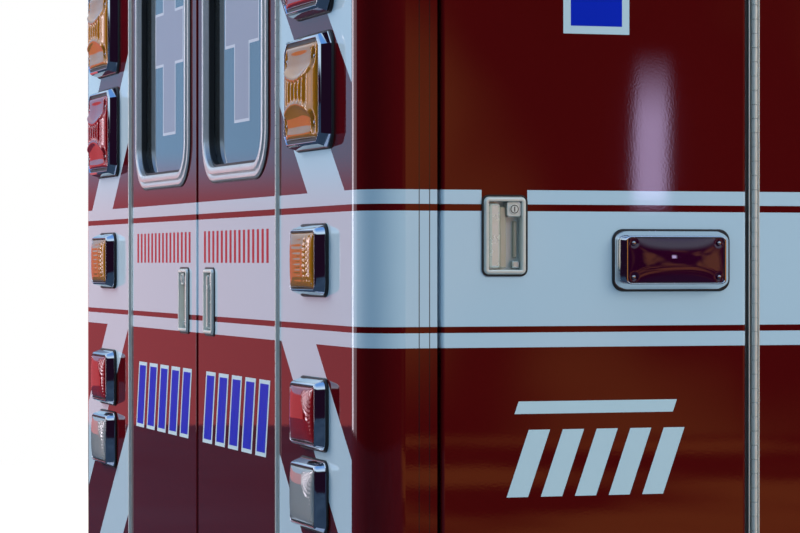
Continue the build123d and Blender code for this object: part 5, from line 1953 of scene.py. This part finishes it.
@dataclass
class Cabinets:
    """Fronts and pulls of the base units, and tracks and clear sliders of the wall units."""

    reveal: float = 6 * MM
    panel: float = 14 * MM
    edge: float = 2 * MM
    base_face: float = 0.580
    base_rows: tuple[Span, ...] = ((0.170, 0.560), (0.570, 0.780), (0.790, 1.020))
    base_columns: tuple[float, ...] = (-1.165, -0.640, -0.120, 0.400, 0.983)
    pull_half: float = 0.06
    pull_out: float = 0.010
    pull_down: Span = (0.034, 0.022)
    pull_edge: float = 3 * MM
    upper_face: float = 0.780
    upper_rows: Span = (1.450, 1.885)
    track: Span = (0.025, 0.020)
    slider_ends: Span = (0.004, 0.02)
    slider_up: float = 0.02
    slider_outs: TwoSpans = ((0.007, 0.002), (0.015, 0.010))

    def build(self) -> None:
        """Make all the fronts."""
        fronts, pulls, sliders = Shape(), Shape(), Shape()
        for left, right in pairwise(self.base_columns):
            self.base_unit(fronts, pulls, left, right)
            self.wall_unit(fronts, sliders, left, right)
        fronts.piece("cabinet_fronts", LAMINATE_BLUE, MODULE)
        pulls.piece("cabinet_pulls", BRUSHED, MODULE)
        sliders.piece("cabinet_sliders", SLIDER, MODULE)

    def base_unit(self, fronts: Shape, pulls: Shape, left: float, right: float) -> None:
        """Add one column of doors and drawers, each with its pull."""
        face, middle, half = self.base_face, (left + right) / 2, self.pull_half
        front = face - self.panel
        for bottom, top in self.base_rows:
            fronts.box((left + self.reveal, front, bottom), (right - self.reveal, face, top), self.edge)
            low, high = (top - down for down in self.pull_down)
            pulls.box(
                (middle - half, front - self.pull_out, low), (middle + half, front, high), self.pull_edge,
            )

    def wall_unit(self, fronts: Shape, sliders: Shape, left: float, right: float) -> None:
        """Add the two tracks of one wall unit and its two clear sliders, one behind the other."""
        (bottom, top), face, middle = self.upper_rows, self.upper_face, (left + right) / 2
        tall, deep = self.track
        for low, high in ((bottom, bottom + tall), (top - tall, top)):
            fronts.box((left, face - deep, low), (right, face, high), self.edge)
        end, over = self.slider_ends
        low, high = bottom + self.slider_up, top - self.slider_up
        spans = ((left + end, middle + over), (middle - over, right - end))
        for (start, stop), (front, back) in zip(spans, self.slider_outs):
            sliders.box((start, face - front, low), (stop, face - back, high), MM)


@dataclass
class Cabin:
    """What shows inside: bench, seat, cabinet fronts, ceiling lights and the doors' inner sheets."""

    light_places: tuple[Span, ...] = ((-1.2, 0.28), (0.0, 0.28), (1.2, 0.28))
    light_aside: float = 0.1
    light_rim: tuple[float, ...] = (0.36, 0.16, 0.02, 0.014, 0.0, 0.012)
    light_lens: Point = (0.335, 0.135, 0.012)
    light_profile: TwoSpans = ((0, 0.006), (0.006, 0.004))
    ceiling: float = 1.9495
    liner_inset: float = 34 * MM
    liner_sheet: float = 1.2 * MM
    liner_corner: float = 0.012
    seal: Span = (10 * MM, 5 * MM)
    seal_inset: float = 0.024
    seal_corner: float = 0.02
    door_thick: float = 48 * MM
    window_room: float = 0.03
    screw: Disc = (3.6 * MM, 1.4 * MM, 12, 2.2 * MM)
    screw_inset: float = 0.024
    screw_pitch: float = 0.25
    screw_columns: int = 4

    def build(self, doors: Iterable[Door]) -> None:
        """Make everything inside."""
        Bench().build()
        AttendantSeat().build()
        Cabinets().build()
        self.lights()
        for door in doors:
            self.inner_side(door)

    def lights(self) -> None:
        """Hang the flat ceiling lights with their metal rims."""
        rims, lenses = Shape(), Shape()
        flip_down = Matrix.Rotation(math.pi, 4, "X")
        profile = soften(self.light_profile, MM)
        for (x, y), side in product(self.light_places, (-1, 1)):
            at = shift(x, side * y + self.light_aside, self.ceiling) @ flip_down
            rims.join(Shape().ring(*self.light_rim), at)
            lenses.join(Shape().stack(*self.light_lens, profile, 4), at)
        rims.piece("ceiling_light_rims", BRUSHED, MODULE)
        lenses.piece("ceiling_light_lenses", LIGHT_PANEL, MODULE)

    def inner_side(self, door: Door) -> None:
        """Add a door's seal and inner sheet with its screws."""
        name, window = door.name, f"{door.name}_window_frame"
        wide, tall = abs(door.hinged - door.free), door.top - door.bottom
        middle = (door.top + door.bottom) / 2
        inward = door.skin.place(door.middle, middle, -self.door_thick) @ Matrix.Rotation(math.pi, 4, "Y")
        band, proud = self.seal
        outline = (wide - self.seal_inset, tall - self.seal_inset, self.seal_corner)
        Shape().ring(*outline, band, 0.0, proud).transform(inward).piece(f"{name}_seal", RUBBER, name)
        bottom, top = self.liner_inset - tall / 2, tall / 2 - self.liner_inset
        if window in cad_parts:
            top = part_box(window)[0].z - middle - self.window_room
        at = inward @ shift(0, (top + bottom) / 2)
        width, height = wide - 2 * self.liner_inset, top - bottom
        profile = ((0, self.liner_sheet * 0.6), (MM, self.liner_sheet * 0.4))
        sheet = Shape().stack(width, height, self.liner_corner, profile, 4)
        sheet.transform(at).piece(f"{name}_inner_sheet", LINER_SHEET, name)
        screws = Shape()
        columns, rows = self.screw_columns, max(2, round(height / self.screw_pitch) + 1)
        for column, row in product(range(columns), range(rows)):
            if column in (0, columns - 1) or row in (0, rows - 1):
                x = (column / (columns - 1) - 0.5) * (width - self.screw_inset)
                y = (row / (rows - 1) - 0.5) * (height - self.screw_inset)
                screws.rod(*self.screw, shift(x, y, self.liner_sheet))
        screws.transform(at).piece(f"{name}_inner_screws", SCREW, name)


@dataclass
class Trim:
    """Rubber inserts of the rub rails, screws of the arch rings and kick plate, and the boot at the front."""

    rail_runs: tuple[Span, ...] = ((-1.826, -1.168), (-0.152, 1.826))
    rail_up: float = -0.239
    rail_out: float = 1.244
    insert: Span = (9 * MM, 2.4 * MM)
    insert_edge: float = 1.5 * MM
    screw: Disc = (4.5 * MM, 1.4 * MM, 14, 3.0 * MM)
    arch: Span = (-0.660, -0.250)
    ring_middle: float = 0.473
    ring_out: float = 1.232
    ring_screws: int = 13
    kick_up: Span = (-0.158, 0.067)
    kick_half: float = 1.072
    kick_columns: int = 12
    kick_out: float = 4 * MM
    pass_ring: tuple[float, ...] = (0.600, 0.500, 0.03, 0.046, 0.0, 6 * MM)
    pass_up: float = 1.400
    pass_out: float = 1.950

    def build(self) -> None:
        """Make all the trim."""
        self.inserts()
        self.fixings()
        self.boot()

    def inserts(self) -> None:
        """Lay the rubber strip along each rub rail."""
        shape = Shape()
        half, proud = self.insert
        for side in (-1, 1):
            inner, outer = sorted((side * self.rail_out, side * (self.rail_out + proud)))
            for rear, front in self.rail_runs:
                low, high = (rear, inner, self.rail_up - half), (front, outer, self.rail_up + half)
                shape.box(low, high, self.insert_edge)
        shape.piece("rub_rail_inserts", RUBBER, MODULE)

    def fixings(self) -> None:
        """Put the screws round the arch rings and along the kick plate."""
        places = []
        for skin, index in product((RIGHT_SKIN, LEFT_SKIN), range(self.ring_screws)):
            turn = math.pi * (index + 0.5) / self.ring_screws
            across = (self.arch[0] + self.ring_middle * math.cos(turn)) * -skin.normal[1]
            up = self.arch[1] + self.ring_middle * math.sin(turn)
            places.append(skin.place(across, up, self.ring_out - HALF_WIDTH))
        for up, index in product(self.kick_up, range(self.kick_columns)):
            across = (index / (self.kick_columns - 1) * 2 - 1) * self.kick_half
            places.append(REAR_SKIN.place(across, up, self.kick_out))
        Shape().spread(Shape().rod(*self.screw), places).piece("trim_screws", SCREW, MODULE)

    def boot(self) -> None:
        """Put the rubber face on the front opening's flange."""
        shape = Shape().ring(*self.pass_ring)
        shape.transform(FRONT_SKIN.place(0, self.pass_up, self.pass_out - HALF_LENGTH))
        shape.piece("front_opening_seal", RUBBER, MODULE)


def build_hinges_and_latches(doors: Iterable[Door]) -> None:
    """Make each door's hinge and latch, which stand for its hardware node."""
    fixed = Shape()
    latch = PaddleLatch()
    for door in doors:
        hinge = PianoHinge(door)
        leaf = hinge.build(fixed).piece(f"{door.name}_hinge_leaf", POLISHED, door.name, "stainless")
        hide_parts(f"{door.name}_hardware")
        # black strips that paint the shade in the hinge's gap
        hinge.build_seal()
        latch.build(door)
    piece = fixed.piece("fixed_hinge_leaves", POLISHED, MODULE, "stainless")
    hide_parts("fixed_hinges")


def main() -> None:
    """Build the studio and every sub-assembly in order."""
    logging.basicConfig(level=logging.INFO, format="%(name)s: %(message)s")
    cad_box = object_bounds()
    doors = read_doors()
    Studio().build()
    Bodywork().build(doors)
    build_hinges_and_latches(doors)
    LampSet().build(doors)
    for door in doors:
        if f"{door.name}_window_frame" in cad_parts:
            Window(door).build()
    Markings().build(doors)
    TreadPlate().build()
    Cabin().build(doors)
    Trim().build()
    boxes = {"cad": cad_box, "visual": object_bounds()}
    {name: [list(corner) for corner in box] for name, box in boxes.items()}


if __name__ == "__main__":
    main()
